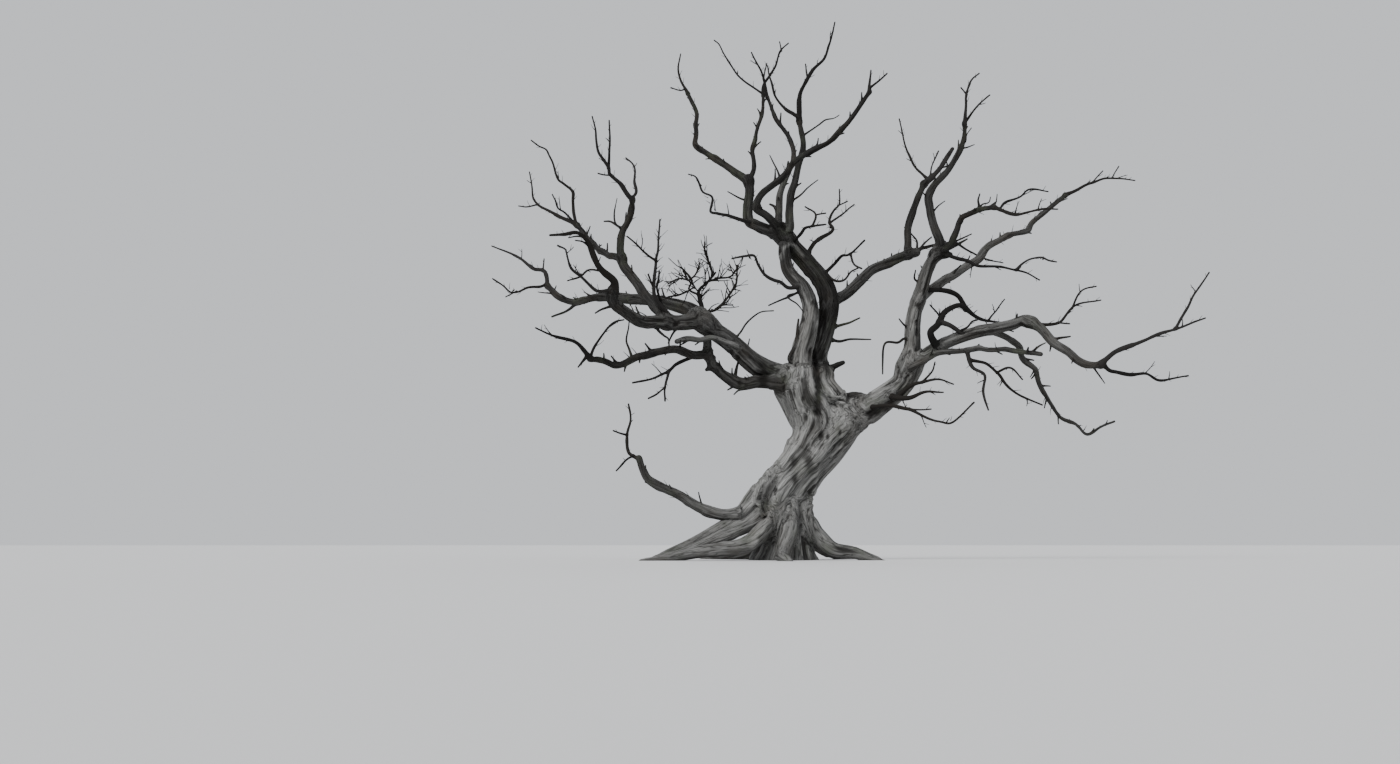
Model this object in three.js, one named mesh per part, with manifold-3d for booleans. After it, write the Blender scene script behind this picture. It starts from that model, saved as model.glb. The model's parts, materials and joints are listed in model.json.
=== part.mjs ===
// A dead, weathered old tree without bark or leaves, in millimetres.
// +X is the viewer's right, +Y leads away from the viewer and +Z is up. The origin is the middle of the
// flat cut under the trunk, at ground level, and nothing reaches below it.
// A stout leaning trunk carries two stems that twist round each other and three side boughs. Every bough
// is one tapering limb with its broken spurs. Every twig mass grows from one stem: its leaders are placed
// by hand, and its side twigs stand on them by one seeded rule.

import * as THREE from "three";
import { mergeVertices } from "three/addons/utils/BufferGeometryUtils.js";
import Module from "manifold-3d";

const wasm = await Module();
wasm.setup();

// A route's points are [across, back, up]. Across and up are read in the upright plane through the
// origin, as it looks from EYE. Back then moves the point along its line of sight, away from EYE, so
// that the outline seen from there stays the same. All of a bough's backs are spread by CROWN_DEPTH.
const EYE = new THREE.Vector3(-1009, -16300, 185);
const CROWN_DEPTH = 1.4;

// Girths are diameters. Solids that touch keep CLEARANCE between them.
const CLEARANCE = 0.3;
const WELD = 0.001;

// A limb's foot flares by the share COLLAR, which fades out along COLLAR_REACH girths. Its end is closed by a
// blunt point. A limb that starts at its carrier's TIP starts TIP_SINK girths inside it.
const COLLAR = 0.3;
const COLLAR_REACH = 0.5;
const BLUNT_END = 0.7;
const TIP = 1;
const TIP_SINK = 0.3;
const SPUR_TAPER = 0.45;

// A limb wavers by GNARL of its girth, once in every GNARL_WAVE girths.
const GNARL = 0.11;
const GNARL_WAVE = 6;
const SHORTEST_WAVE = 420;

// A ring stands at every RING_STEP, or further apart on a stout limb.
const RING_STEP = 210;
const STOUT_STEP = 1.25;

// How many sides a limb has, by the girth of its foot
const SIDES = [
  { over: 280, sides: 8 },
  { over: 108, sides: 6 },
  { over: 77, sides: 5 },
  { over: 66, sides: 4 },
  { over: 0, sides: 3 },
];

// The rule for side twigs. Spacing, reach, girth, tip and room are sizes, and spread and turn are angles.
// The other values are shares.
const GOLDEN_TURN = Math.PI * (3 - Math.sqrt(5));
const TWIG = {
  spacing: 425, reach: 170, atFoot: 1.1, atTip: 0.5, shortest: 0.6, longest: 1.4,
  spread: 0.95, turn: 6, lift: 0.35, stray: 0.5, joints: 3, kink: 0.3,
  girth: 17, stoutest: 1.3, tip: 7, room: 14, rings: 2, sides: 3,
};
const LEADER_TIP = 14;
const CROWN_TOP = 6640;
const GROUND_ROOM = 60;

// The trunk's level rings, from the ground to the fork: height, middle across, half width, half depth
const TRUNK_RINGS = [
  [0, -20, 410, 400],
  [120, -10, 350, 345],
  [300, -15, 305, 315],
  [520, -35, 305, 315],
  [710, -35, 335, 325],
  [950, 90, 350, 330],
  [1190, 294, 356, 330],
  [1430, 448, 373, 335],
  [1560, 508, 378, 340],
  [1670, 478, 392, 345],
  [1860, 410, 415, 350],
  [2020, 310, 395, 330],
  [2150, 260, 345, 280],
  [2260, 265, 305, 215],
  [2320, 250, 130, 100],
];
const TRUNK_SIDES = 24;
const TRUNK_STEPS = 14;
const TRUNK_BACK = 20;
const TRUNK_TWIST = 0.0009;
const FLUTES = [
  { count: 5, depth: 0.05, phase: 0.6 },
  { count: 8, depth: 0.03, phase: 2.1 },
  { count: 13, depth: 0.015, phase: 4.0 },
];
const GROOVE = { angle: -1.15, width: 0.22, depth: 0.22, from: 1500, deepAt: 1900 };
const TRUNK_DOME = 30;

// Roots that lie on the ground are part of the trunk's flare, and are cut flat with it.
const ROOTS = [
  {
    name: "long_left_root", girth: [270, 90],
    route: [[-60, -60, 960], [-300, -120, 780], [-540, -200, 540], [-880, -300, 330], [-1120, -350, 170],
      [-1420, -380, 30], [-1640, -360, -60]],
  },
  {
    name: "middle_left_root", girth: [230, 80],
    route: [[-90, -110, 800], [-210, -190, 640], [-389, -270, 449], [-592, -350, 319], [-866, -420, 200],
      [-1128, -450, 118], [-1425, -460, 30], [-1600, -450, -40]],
  },
  {
    name: "low_left_root", girth: [240, 80],
    route: [[-60, -180, 560], [-250, -330, 380], [-520, -480, 170], [-900, -620, 80], [-1250, -650, 40],
      [-1700, -760, -30]],
  },
  {
    name: "front_root", girth: [230, 80],
    route: [[60, -180, 620], [60, -370, 300], [-20, -600, 110], [-60, -900, 50], [60, -1200, -40]],
  },
  {
    name: "right_root", girth: [250, 80],
    route: [[180, -60, 660], [350, -120, 360], [560, -200, 140], [850, -220, 70], [1180, -330, -40]],
  },
  {
    name: "back_right_root", girth: [240, 80],
    route: [[120, 150, 620], [280, 360, 320], [470, 620, 110], [620, 900, 50], [900, 1120, -40]],
  },
  {
    name: "back_left_root", girth: [240, 80],
    route: [[-120, 150, 620], [-260, 380, 320], [-430, 660, 110], [-760, 880, 50], [-1050, 950, -40]],
  },
];

// Boughs stand in the order in which they are made. "at" is the share of the carrier's length where a
// limb starts, and a limb without it has its own first point inside the trunk.
const BOUGHS = [
  {
    name: "left_bough", on: "trunk", girth: [275, 195],
    route: [[230, 0, 2120], [-92, -60, 2244], [-272, -120, 2323], [-459, -190, 2429], [-646, -265, 2583],
      [-827, -330, 2720], [-973, -385, 2849], [-1045, -410, 2935]],
    spurs: [
      { at: 0.65, girth: 30, reach: [[60, -20, 85], [110, -30, 150], [160, -50, 230], [270, -70, 330],
        [350, -80, 375], [490, -90, 385]] },
      { at: 0.52, girth: 26, reach: [[35, 20, 80], [62, 30, 190]] },
    ],
  },
  {
    name: "lower_left_bough", on: "trunk", girth: [195, 98],
    route: [[230, -60, 2060], [-105, -130, 2117], [-322, -175, 2123], [-466, -205, 2104],
      [-587, -230, 2135], [-683, -250, 2189], [-780, -270, 2256], [-858, -295, 2335], [-900, -320, 2433],
      [-912, -345, 2531], [-918, -360, 2616]],
    spurs: [
      { at: 0.78, girth: 90, reach: [[-110, -20, -35]] },
      { at: 0.585, girth: 50, reach: [[15, 20, 120], [50, 40, 240]] },
      { at: 0.56, girth: 36, reach: [[-48, -30, -62], [-114, -50, -104]] },
      { at: 0.48, girth: 34, reach: [[-20, -60, -60], [-96, -70, -84], [-144, -75, -132]] },
    ],
  },
  {
    name: "right_bough", on: "trunk", girth: [385, 235],
    route: [[470, 0, 1540], [780, -30, 1690], [1000, -60, 1800], [1245, -90, 1965], [1430, -115, 2110],
      [1514, -125, 2232], [1550, -130, 2390]],
    spurs: [{ at: 0.43, girth: 175, reach: [[-110, -30, 110], [-275, -45, 140]] }],
  },
  {
    name: "centre_stem", on: "trunk", girth: [304, 185],
    route: [[400, 60, 1950], [400, 80, 2214], [393, 90, 2396], [425, 105, 2518], [475, 118, 2641],
      [524, 124, 2824], [560, 125, 3070], [511, 115, 3243], [418, 105, 3373], [314, 100, 3494],
      [225, 95, 3618], [135, 80, 3744], [57, 60, 3850], [0, 45, 3940], [-22, 30, 4010]],
    spurs: [
      { at: 0.115, girth: 112, reach: [[110, -20, 10], [190, -45, 85], [250, -55, 125],
        [325, -60, 150]] },
      { at: 0.375, girth: 44, reach: [[120, -30, 20], [230, -50, 55], [330, -65, 80], [430, -80, 125]] },
      { at: 0.31, girth: 38, reach: [[130, -40, 5], [230, -70, -15], [345, -90, 5], [590, -120, 0]] },
      { at: 0.77, girth: 34, reach: [[50, 20, 80], [62, 30, 170]] },
    ],
  },
  {
    name: "pale_stem", on: "trunk", girth: [275, 122],
    route: [[240, -90, 2000], [215, -80, 2350], [245, -95, 2550], [330, -110, 2780], [355, -90, 3000],
      [252, -70, 3250], [102, -60, 3410], [38, -50, 3525], [24, -40, 3675], [20, -30, 3800]],
    spurs: [
      { at: 0.18, girth: 52, reach: [[-150, -70, 40], [-85, -110, 225], [-55, -130, 410], [-45, -140, 520]] },
      { at: 0.68, girth: 36, reach: [[-150, -60, -90], [-240, -90, -130], [-430, -120, -220]] },
      { at: 0.66, girth: 30, reach: [[-225, -80, -70], [-190, -100, -115], [-105, -120, -175],
        [-35, -130, -270]] },
    ],
  },
  {
    name: "pale_stub", on: "left_bough", at: 0.58, girth: [66, 58],
    route: [[-586, -350, 2580], [-706, -400, 2622], [-827, -440, 2653], [-924, -470, 2665],
      [-1009, -500, 2649], [-1106, -530, 2653], [-1203, -560, 2650], [-1287, -590, 2622]],
  },
  {
    name: "left_arm", on: "left_bough", at: 0.96, girth: [190, 100],
    route: [[-1230, -560, 2850], [-1520, -720, 2880], [-1750, -860, 2890], [-1920, -960, 2960],
      [-2080, -1060, 3110], [-2080, -1130, 3250]],
    spurs: [
      { at: 0.93, girth: 80, reach: [[-90, -30, 60]] },
      { at: 0.88, girth: 38, reach: [[-55, -10, -30], [-150, -20, -70], [-225, -30, -115]] },
      { at: 0.44, girth: 32, reach: [[0, -20, -80], [73, -30, -157], [123, -40, -196],
        [134, -50, -302]] },
      { at: 0.2, girth: 36, reach: [[-56, -60, -62], [-100, -80, -118], [-134, -90, -180],
        [-168, -100, -258]] },
    ],
  },
  {
    name: "left_beam", on: "left_bough", at: 0.9, girth: [180, 68],
    route: [[-1130, -200, 3020], [-1400, 0, 3090], [-1840, 280, 3140], [-2200, 500, 3180], [-2500, 660, 3090],
      [-2680, 760, 3150], [-2870, 880, 3310]],
    spurs: [
      { at: 0.79, girth: 48, reach: [[-130, 20, -110], [-330, 40, -190]] },
      { at: 0.93, girth: 28, reach: [[-120, 0, 10], [-230, 0, 25]] },
    ],
  },
  {
    name: "left_mast", on: "left_arm", at: 0.345, girth: [125, 66],
    route: [[-1482, -640, 2972], [-1580, -590, 3095], [-1677, -540, 3187], [-1763, -490, 3305],
      [-1861, -450, 3441], [-1941, -430, 3558], [-1966, -410, 3695], [-1967, -410, 3832],
      [-1956, -430, 3975], [-1908, -470, 4087], [-1866, -520, 4200], [-1842, -580, 4312],
      [-1839, -640, 4394]],
    spurs: [
      { at: 0.76, girth: 38, reach: [[-80, 30, 60], [-170, 55, 125], [-235, 65, 125]] },
      { at: 0.77, girth: 26, reach: [[-90, -30, 50], [-115, -60, 160], [-80, -90, 345]] },
    ],
  },
  {
    name: "left_wing", on: "left_mast", at: 0.57, girth: [80, 58],
    route: [[-2082, -290, 3680], [-2152, -170, 3697], [-2221, -40, 3739], [-2291, 100, 3800],
      [-2360, 240, 3879], [-2429, 370, 3964], [-2513, 500, 4062]],
    spurs: [
      { at: 0.75, girth: 34, reach: [[-110, -30, 10], [-230, -40, -10]] },
    ],
  },
  {
    name: "lower_left_arm", on: "lower_left_bough", at: 0.9, girth: [105, 58],
    route: [[-1070, -440, 2460], [-1250, -560, 2510], [-1500, -740, 2510], [-1720, -900, 2440],
      [-2010, -1100, 2330], [-2130, -1180, 2370], [-2340, -1320, 2410]],
    spurs: [
      { at: 0.655, girth: 28, reach: [[-39, -20, 110], [-69, -30, 196], [-44, -45, 343],
        [-39, -60, 428]] },
    ],
  },
  {
    name: "low_snag", on: "trunk", girth: [140, 74],
    route: [[-520, -190, 545], [-760, -190, 530], [-970, -150, 610], [-1260, -100, 790], [-1460, -80, 850],
      [-1620, -60, 930], [-1690, -40, 1080], [-1740, -20, 1210]],
  },
  {
    name: "crown_left", on: "centre_stem", at: 0.93, girth: [150, 98],
    route: [[-150, 50, 3980], [-330, 90, 4060], [-430, 120, 4130], [-430, 150, 4290], [-400, 170, 4460],
      [-420, 190, 4640]],
    spurs: [{ at: 0.74, girth: 30, reach: [[-110, -40, 30], [-260, -80, 100]] }],
  },
  {
    name: "inner_bough", on: "centre_stem", at: 0.97, girth: [88, 42],
    route: [[-31, 110, 4037], [-45, 130, 4178], [-40, 145, 4357], [-19, 150, 4458], [22, 150, 4599],
      [72, 150, 4738], [135, 145, 4860], [152, 140, 5001], [106, 130, 5121], [22, 120, 5253],
      [-60, 110, 5386], [-124, 95, 5547], [-178, 80, 5680]],
    spurs: [
      { at: 0.16, girth: 48, reach: [[-60, 20, 120], [-110, 30, 150]] },
    ],
  },
  {
    name: "mast_bough", on: "centre_stem", at: 0.97, girth: [96, 56],
    route: [[85, 0, 4012], [96, -40, 4138], [98, -70, 4299], [118, -95, 4498], [154, -115, 4639],
      [199, -135, 4779], [241, -155, 4920], [260, -175, 5062], [244, -190, 5223], [213, -200, 5386]],
    spurs: [
      { at: 0.86, girth: 28, reach: [[92, 40, 77], [207, 80, 172], [283, 100, 230], [398, 140, 268],
        [465, 160, 316]] },
      { at: 0.3, girth: 26, reach: [[110, -60, 60], [200, -90, 150], [330, -110, 245]] },
    ],
  },
  {
    name: "crossing_bough", on: "centre_stem", at: 0.95, girth: [90, 48],
    route: [[-160, -80, 4150], [-305, -70, 4260], [-318, -100, 4335], [-243, -170, 4445], [9, -370, 4680],
      [161, -490, 4850], [388, -620, 5015], [590, -730, 5110], [743, -810, 5270], [922, -890, 5495],
      [1095, -940, 5750]],
    spurs: [
      { at: 0.415, girth: 28, reach: [[-38, -30, 86], [-77, -40, 163], [-128, -50, 268]] },
      { at: 0.47, girth: 44, reach: [[0, -20, 105]] },
    ],
  },
  {
    name: "left_horn", on: "crown_left", at: 0.97, girth: [95, 48],
    route: [[-650, 340, 4780], [-940, 500, 4970], [-1060, 580, 5080], [-1060, 680, 5270], [-1050, 770, 5460],
      [-1160, 890, 5730]],
  },
  {
    name: "left_spire", on: "crown_left", at: 0.95, girth: [70, 40],
    route: [[-352, 270, 4759], [-354, 310, 4916], [-359, 340, 5056], [-322, 370, 5182], [-271, 410, 5365],
      [-234, 440, 5527], [-226, 480, 5711]],
  },
  {
    name: "centre_right_bough", on: "centre_stem", at: 0.51, girth: [140, 112],
    route: [[668, 235, 3156], [803, 290, 3249], [1039, 390, 3447], [1135, 430, 3517], [1238, 470, 3581],
      [1403, 520, 3656], [1544, 560, 3698], [1626, 590, 3720]],
  },
  {
    name: "centre_right_rise", on: "centre_right_bough", at: 0.92, girth: [92, 74],
    route: [[1527, 600, 3800], [1532, 615, 3900], [1547, 640, 4068], [1589, 670, 4236], [1662, 700, 4404],
      [1731, 725, 4545], [1747, 740, 4589]],
  },
  {
    name: "right_upright", on: "right_bough", at: TIP, girth: [205, 122],
    route: [[1572, -130, 2568], [1585, -130, 2800], [1600, -130, 3050], [1654, -130, 3243],
      [1767, -130, 3520], [1950, -120, 3800]],
    spurs: [
      { at: 0.2, girth: 36, reach: [[-110, -60, 10], [-190, -90, -40], [-340, -120, -55],
        [-380, -140, -300], [-385, -150, -425]] },
      { at: 0.27, girth: 34, reach: [[-110, -50, 60], [-170, -60, 140]] },
      { at: 0.66, girth: 34, reach: [[-110, -30, 50], [-95, -40, 150]] },
      { at: 0.93, girth: 130, reach: [[150, -10, -20]] },
    ],
  },
  {
    name: "right_rise", on: "right_upright", at: TIP, girth: [108, 48],
    route: [[1910, -190, 3894], [1832, -240, 4092], [1800, -290, 4260], [1799, -350, 4428],
      [1865, -400, 4571], [2010, -460, 4716], [2118, -520, 4861], [2204, -590, 5018], [2247, -660, 5176],
      [2259, -740, 5346]],
    spurs: [
      { at: 0.81, girth: 28, reach: [[100, 30, 25], [179, 50, 62]] },
      { at: 0.83, girth: 26, reach: [[45, -20, 40], [60, -30, 120], [115, -50, 200]] },
      { at: 0.27, girth: 24, reach: [[70, -30, 80], [160, -50, 150]] },
    ],
  },
  {
    name: "right_curl", on: "right_upright", at: 0.94, girth: [76, 50],
    route: [[2042, -200, 3800], [2085, -230, 3901], [2123, -265, 3996], [2166, -310, 4092],
      [2222, -350, 4168], [2290, -400, 4210], [2374, -460, 4242], [2469, -540, 4265], [2604, -680, 4281]],
    spurs: [
      { at: 0.66, girth: 38, reach: [[57, -30, 57], [46, -40, 138], [64, -50, 206]] },
      { at: 0.7, girth: 26, reach: [[60, -50, 70], [130, -70, 90], [150, -80, 150]] },
      { at: 0.96, girth: 26, reach: [[45, 30, 60], [65, 40, 170]] },
      { at: 0.1, girth: 40, reach: [[120, -20, 20], [260, -40, 90]] },
    ],
  },
  {
    name: "upper_right_arm", on: "right_upright", at: 0.5, girth: [115, 55],
    route: [[1850, 60, 3305], [2190, 320, 3510], [2365, 420, 3635], [2480, 500, 3757], [2620, 600, 3865],
      [2768, 700, 3930], [2992, 860, 3995], [3060, 920, 4090], [3222, 1020, 4233], [3472, 1180, 4435]],
  },
  {
    name: "far_right_bough", on: "right_bough", at: 0.9, girth: [165, 115],
    route: [[1700, -170, 2450], [1895, -200, 2555], [2323, -245, 2720], [2751, -295, 2840],
      [2901, -320, 2882], [3007, -340, 2864]],
  },
  {
    name: "far_right_arm", on: "far_right_bough", at: 0.98, girth: [112, 70],
    route: [[3132, -380, 2770], [3262, -430, 2620], [3421, -490, 2510], [3555, -540, 2390],
      [3691, -600, 2335], [3850, -660, 2335]],
    spurs: [
      { at: 0.34, girth: 38, reach: [[100, -20, 20], [210, -30, 40]] },
      { at: 0.88, girth: 28, reach: [[60, 10, -90], [150, 20, -220]] },
    ],
  },
  {
    name: "drooping_arm", on: "far_right_bough", at: 0.68, girth: [80, 28],
    route: [[2740, -160, 2650], [2840, -80, 2560], [2900, 0, 2410], [3040, 120, 2270], [3110, 220, 2060],
      [3320, 400, 1700], [3490, 480, 1630], [3640, 550, 1490], [3790, 600, 1580], [3970, 660, 1650]],
    spurs: [
      { at: 0.48, girth: 22, reach: [[60, 20, -100]] },
      { at: 0.36, girth: 22, reach: [[-50, 10, -80]] },
    ],
  },
  {
    name: "second_beam", on: "right_bough", at: 0.86, girth: [78, 42],
    route: [[1640, -330, 2365], [1893, -440, 2480], [2318, -690, 2525], [2530, -820, 2527],
      [2785, -970, 2508], [3112, -1150, 2466]],
    spurs: [{ at: 0.94, girth: 28, reach: [[70, -20, 70], [150, -30, 110]] }],
  },
];

// A mass's first leader starts on its bough, and each other leader on the leader "of", at the share "at".
const MASSES = [
  {
    name: "left_arm_twigs", on: "left_arm", at: TIP,
    leaders: [
      { girth: 84, tip: 26, route: [[-2050, -1160, 3340], [-2230, -1310, 3530], [-2290, -1380, 3660],
        [-2370, -1440, 3830], [-2500, -1520, 3970], [-2660, -1620, 3945], [-2840, -1720, 3935]] },
      { of: 0, at: 0.03, girth: 42, route: [[-2249, -1200, 3243], [-2320, -1230, 3292],
        [-2423, -1270, 3379], [-2483, -1330, 3441], [-2578, -1400, 3536], [-2631, -1480, 3675],
        [-2658, -1560, 3762], [-2744, -1620, 3805]] },
      { of: 0, at: 0.25, girth: 28, route: [[-2370, -1260, 3500], [-2470, -1280, 3420],
        [-2620, -1300, 3370]] },
      { of: 0, at: 0.5, girth: 24, route: [[-2450, -1480, 3860], [-2530, -1500, 3870]] },
    ],
  },
  {
    name: "left_beam_twigs", on: "left_beam", at: TIP,
    leaders: [
      { girth: 60, route: [[-2900, 930, 3480], [-3060, 1000, 3530], [-3200, 1100, 3650],
        [-3550, 1300, 3800]] },
      { of: 0, at: 0.2, girth: 26, route: [[-2910, 960, 3640]] },
      { of: 0, at: 0.04, girth: 40, route: [[-2934, 860, 3301], [-3104, 820, 3288], [-3223, 760, 3230],
        [-3316, 720, 3227], [-3403, 690, 3309], [-3533, 640, 3396]] },
      { of: 2, at: 0.54, girth: 20, route: [[-3370, 700, 3170]] },
    ],
  },
  {
    name: "left_mast_twigs", on: "left_mast", at: TIP,
    leaders: [
      { girth: 60, tip: 16, route: [[-1883, -700, 4430], [-1935, -730, 4501], [-1987, -770, 4579],
        [-2056, -810, 4640], [-2117, -850, 4702], [-2135, -890, 4781], [-2187, -930, 4870],
        [-2248, -970, 4958], [-2275, -1020, 5064], [-2293, -1060, 5172], [-2300, -1120, 5270],
        [-2340, -1180, 5430]] },
      { of: 0, at: 0.45, girth: 34, route: [[-2120, -880, 5020], [-2130, -840, 5380]] },
      { of: 0, at: 0.02, girth: 40, route: [[-1794, -660, 4463], [-1809, -620, 4605],
        [-1808, -580, 4765], [-1845, -550, 4834], [-1921, -520, 4905]] },
      { of: 0, at: 0.36, girth: 24, route: [[-2180, -900, 4690], [-2260, -930, 4710]] },
    ],
  },
  {
    name: "left_sprout_twigs", on: "left_arm", at: 0.27,
    leaders: [
      { girth: 48, route: [[-1560, -760, 3200], [-1540, -840, 3620], [-1520, -880, 3800],
        [-1500, -920, 4130]] },
      { of: 0, at: 0.64, girth: 26, route: [[-1655, -890, 3689], [-1707, -920, 3741],
        [-1767, -970, 3809], [-1897, -1040, 3919]] },
      { of: 0, at: 0.2, girth: 26, route: [[-1534, -740, 3305], [-1515, -720, 3391],
        [-1505, -700, 3486]] },
      { of: 0, at: 0.36, girth: 20, route: [[-1640, -860, 3450]] },
    ],
  },
  {
    name: "left_wing_twigs", on: "left_wing", at: TIP,
    leaders: [
      { girth: 58, tip: 16, route: [[-2587, 560, 4103], [-2688, 640, 4152], [-2843, 740, 4226],
        [-2983, 830, 4314], [-3047, 880, 4375], [-3068, 940, 4534], [-3105, 1000, 4728]] },
      { of: 0, at: 0.02, girth: 46, route: [[-2558, 520, 4237], [-2565, 510, 4357], [-2563, 500, 4480],
        [-2676, 480, 4570], [-2745, 460, 4623], [-2817, 430, 4852], [-2870, 410, 4940],
        [-2906, 390, 5009], [-2993, 360, 5056], [-3089, 330, 5128]] },
      { of: 0, at: 0.03, girth: 32, route: [[-2672, 570, 4226], [-2749, 560, 4270], [-2785, 550, 4375],
        [-2820, 540, 4445]] },
      { of: 0, at: 0.59, girth: 26, route: [[-3140, 800, 4290], [-3230, 780, 4300]] },
    ],
  },
  {
    name: "lower_left_twigs", on: "lower_left_arm", at: TIP,
    leaders: [
      { girth: 54, route: [[-2420, -1380, 2520], [-2510, -1440, 2620], [-2790, -1590, 2690],
        [-3000, -1700, 2790]] },
      { of: 0, at: 0.02, girth: 34, route: [[-2300, -1340, 2526], [-2215, -1370, 2663],
        [-2093, -1410, 2826], [-2027, -1440, 2867], [-1932, -1460, 2888]] },
      { of: 0, at: 0.08, girth: 40, route: [[-2480, -1300, 2310]] },
    ],
  },
  {
    name: "left_down_twigs", on: "lower_left_arm", at: 0.1,
    leaders: [
      { girth: 44, route: [[-1300, -420, 2340], [-1410, -400, 2250], [-1550, -380, 2180],
        [-1820, -330, 2120]] },
      { of: 0, at: 0.45, girth: 34, route: [[-1430, -360, 2050], [-1430, -320, 1900]] },
      { of: 1, at: 0.55, girth: 22, route: [[-1540, -420, 1980], [-1630, -460, 1930]] },
    ],
  },
  {
    name: "tangle", on: "left_bough", at: TIP, spacing: 260, reach: 240,
    leaders: [
      { girth: 58, route: [[-990, -380, 3040], [-1020, -360, 3230], [-940, -330, 3330], [-820, -300, 3470]] },
      { of: 0, at: 0.15, girth: 32, route: [[-820, -340, 3010], [-620, -260, 3240], [-570, -230, 3340],
        [-555, -200, 3560]] },
      { of: 0, at: 0.45, girth: 28, route: [[-1140, -420, 3260], [-1110, -440, 3370], [-1240, -500, 3540]] },
      { of: 2, at: 0.35, girth: 20, route: [[-1250, -440, 3200], [-1400, -500, 3170]] },
      { of: 2, at: 0.6, girth: 18, route: [[-1250, -480, 3400], [-1400, -540, 3330]] },
      { of: 2, at: 0.6, girth: 18, route: [[-1060, -400, 3450], [-1010, -360, 3590]] },
      { of: 0, at: 0.92, girth: 22, route: [[-880, -360, 3560], [-950, -400, 3730], [-950, -420, 3850]] },
      { of: 0, at: 0.75, girth: 22, route: [[-780, -240, 3400], [-640, -180, 3420], [-540, -120, 3550]] },
    ],
  },
  {
    name: "low_snag_twigs", on: "low_snag", at: TIP,
    leaders: [
      { girth: 46, route: [[-1860, 20, 1280], [-1890, 50, 1470], [-1840, 80, 1670], [-1870, 110, 1860]] },
      { of: 0, at: 0.5, girth: 26, route: [[-1950, 20, 1500], [-2050, 0, 1540]] },
      { of: 0, at: 0.12, girth: 28, route: [[-1900, -80, 1180], [-2010, -110, 1060]] },
    ],
  },
  {
    name: "left_horn_twigs", on: "left_horn", at: TIP,
    leaders: [
      { girth: 42, route: [[-1230, 940, 5860], [-1280, 980, 6000], [-1250, 1020, 6230]] },
      { of: 0, at: 0.15, girth: 26, route: [[-1250, 860, 5760], [-1370, 840, 5800]] },
    ],
  },
  {
    name: "left_spire_twigs", on: "left_spire", at: TIP,
    leaders: [
      { girth: 44, route: [[-223, 520, 5832], [-141, 550, 5955], [-81, 570, 6058], [-45, 590, 6181],
        [0, 610, 6283], [90, 630, 6370]] },
      { of: 0, at: 0.02, girth: 30, route: [[-339, 540, 5793], [-438, 560, 5863], [-537, 590, 5955],
        [-634, 620, 6099], [-713, 650, 6232], [-773, 700, 6355], [-832, 730, 6407]] },
      { of: 0, at: 0.82, girth: 20, route: [[-20, 600, 6390]] },
    ],
  },
  {
    name: "crossing_twigs", on: "crossing_bough", at: TIP,
    leaders: [
      { girth: 40, route: [[1090, -960, 5860], [1110, -980, 6020]] },
      { of: 0, at: 0.2, girth: 30, route: [[1190, -980, 5870], [1310, -1020, 5980]] },
    ],
  },
  {
    name: "inner_twigs", on: "inner_bough", at: TIP,
    leaders: [
      { girth: 40, route: [[-230, 40, 5960], [-300, 0, 6100], [-370, -40, 6250]] },
      { of: 0, at: 0.4, girth: 22, route: [[-180, 120, 6110]] },
    ],
  },
  {
    name: "mast_twigs", on: "mast_bough", at: TIP,
    leaders: [
      { girth: 62, route: [[220, -220, 5600], [250, -230, 5780], [390, -250, 6010], [520, -260, 6160],
        [600, -260, 6350], [670, -260, 6640]] },
      { of: 0, at: 0.03, girth: 44, route: [[142, -240, 5466], [54, -280, 5517], [-25, -330, 5609],
        [-84, -380, 5711], [-122, -430, 5853], [-151, -470, 5955], [-170, -500, 6079]] },
      { of: 0, at: 0.4, girth: 22, route: [[300, -200, 6100]] },
    ],
  },
  {
    name: "left_hook_twigs", on: "crown_left", at: 0.42,
    leaders: [
      { girth: 46, route: [[-520, -20, 4131], [-679, -150, 4187], [-795, -250, 4200],
        [-874, -310, 4231], [-862, -390, 4408], [-967, -450, 4468], [-1020, -520, 4589],
        [-1069, -580, 4669], [-1151, -640, 4699]] },
    ],
  },
  {
    name: "crown_right_twigs", on: "centre_stem", at: 0.9,
    leaders: [
      { girth: 42, route: [[220, -120, 3950], [290, -240, 4030], [530, -420, 4070]] },
      { of: 0, at: 0.72, girth: 26, route: [[410, -300, 4190], [280, -260, 4290]] },
      { of: 1, at: 0.45, girth: 18, route: [[530, -340, 4210]] },
    ],
  },
  {
    name: "mid_right_upper_twigs", on: "centre_stem", at: 0.79,
    leaders: [
      { girth: 58, route: [[350, 220, 3780], [440, 340, 3890], [620, 500, 4000], [570, 560, 4100],
        [640, 640, 4250], [700, 700, 4340], [700, 720, 4510]] },
      { of: 0, at: 0.63, girth: 28, route: [[770, 640, 4230], [880, 700, 4320]] },
      { of: 0, at: 0.84, girth: 20, route: [[800, 760, 4360]] },
    ],
  },
  {
    name: "mid_right_twigs", on: "centre_stem", at: 0.66,
    leaders: [
      { girth: 44, route: [[620, 60, 3570], [730, -60, 3680], [820, -160, 3700], [1000, -280, 3870]] },
      { of: 0, at: 0.7, girth: 30, route: [[870, -180, 3570], [960, -220, 3520]] },
      { of: 0, at: 0.12, girth: 34, route: [[597, 40, 3391], [670, -40, 3366], [756, -110, 3391],
        [830, -160, 3478], [916, -200, 3527]] },
    ],
  },
  {
    name: "mid_left_twigs", on: "pale_stem", at: 0.7,
    leaders: [
      { girth: 50, tip: 18, route: [[70, -180, 3285], [-20, -260, 3342], [-100, -320, 3375],
        [-235, -390, 3470], [-305, -430, 3560], [-344, -480, 3682], [-457, -540, 3676],
        [-619, -620, 3644]] },
    ],
  },
  {
    name: "centre_right_twigs", on: "centre_right_rise", at: TIP,
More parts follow.
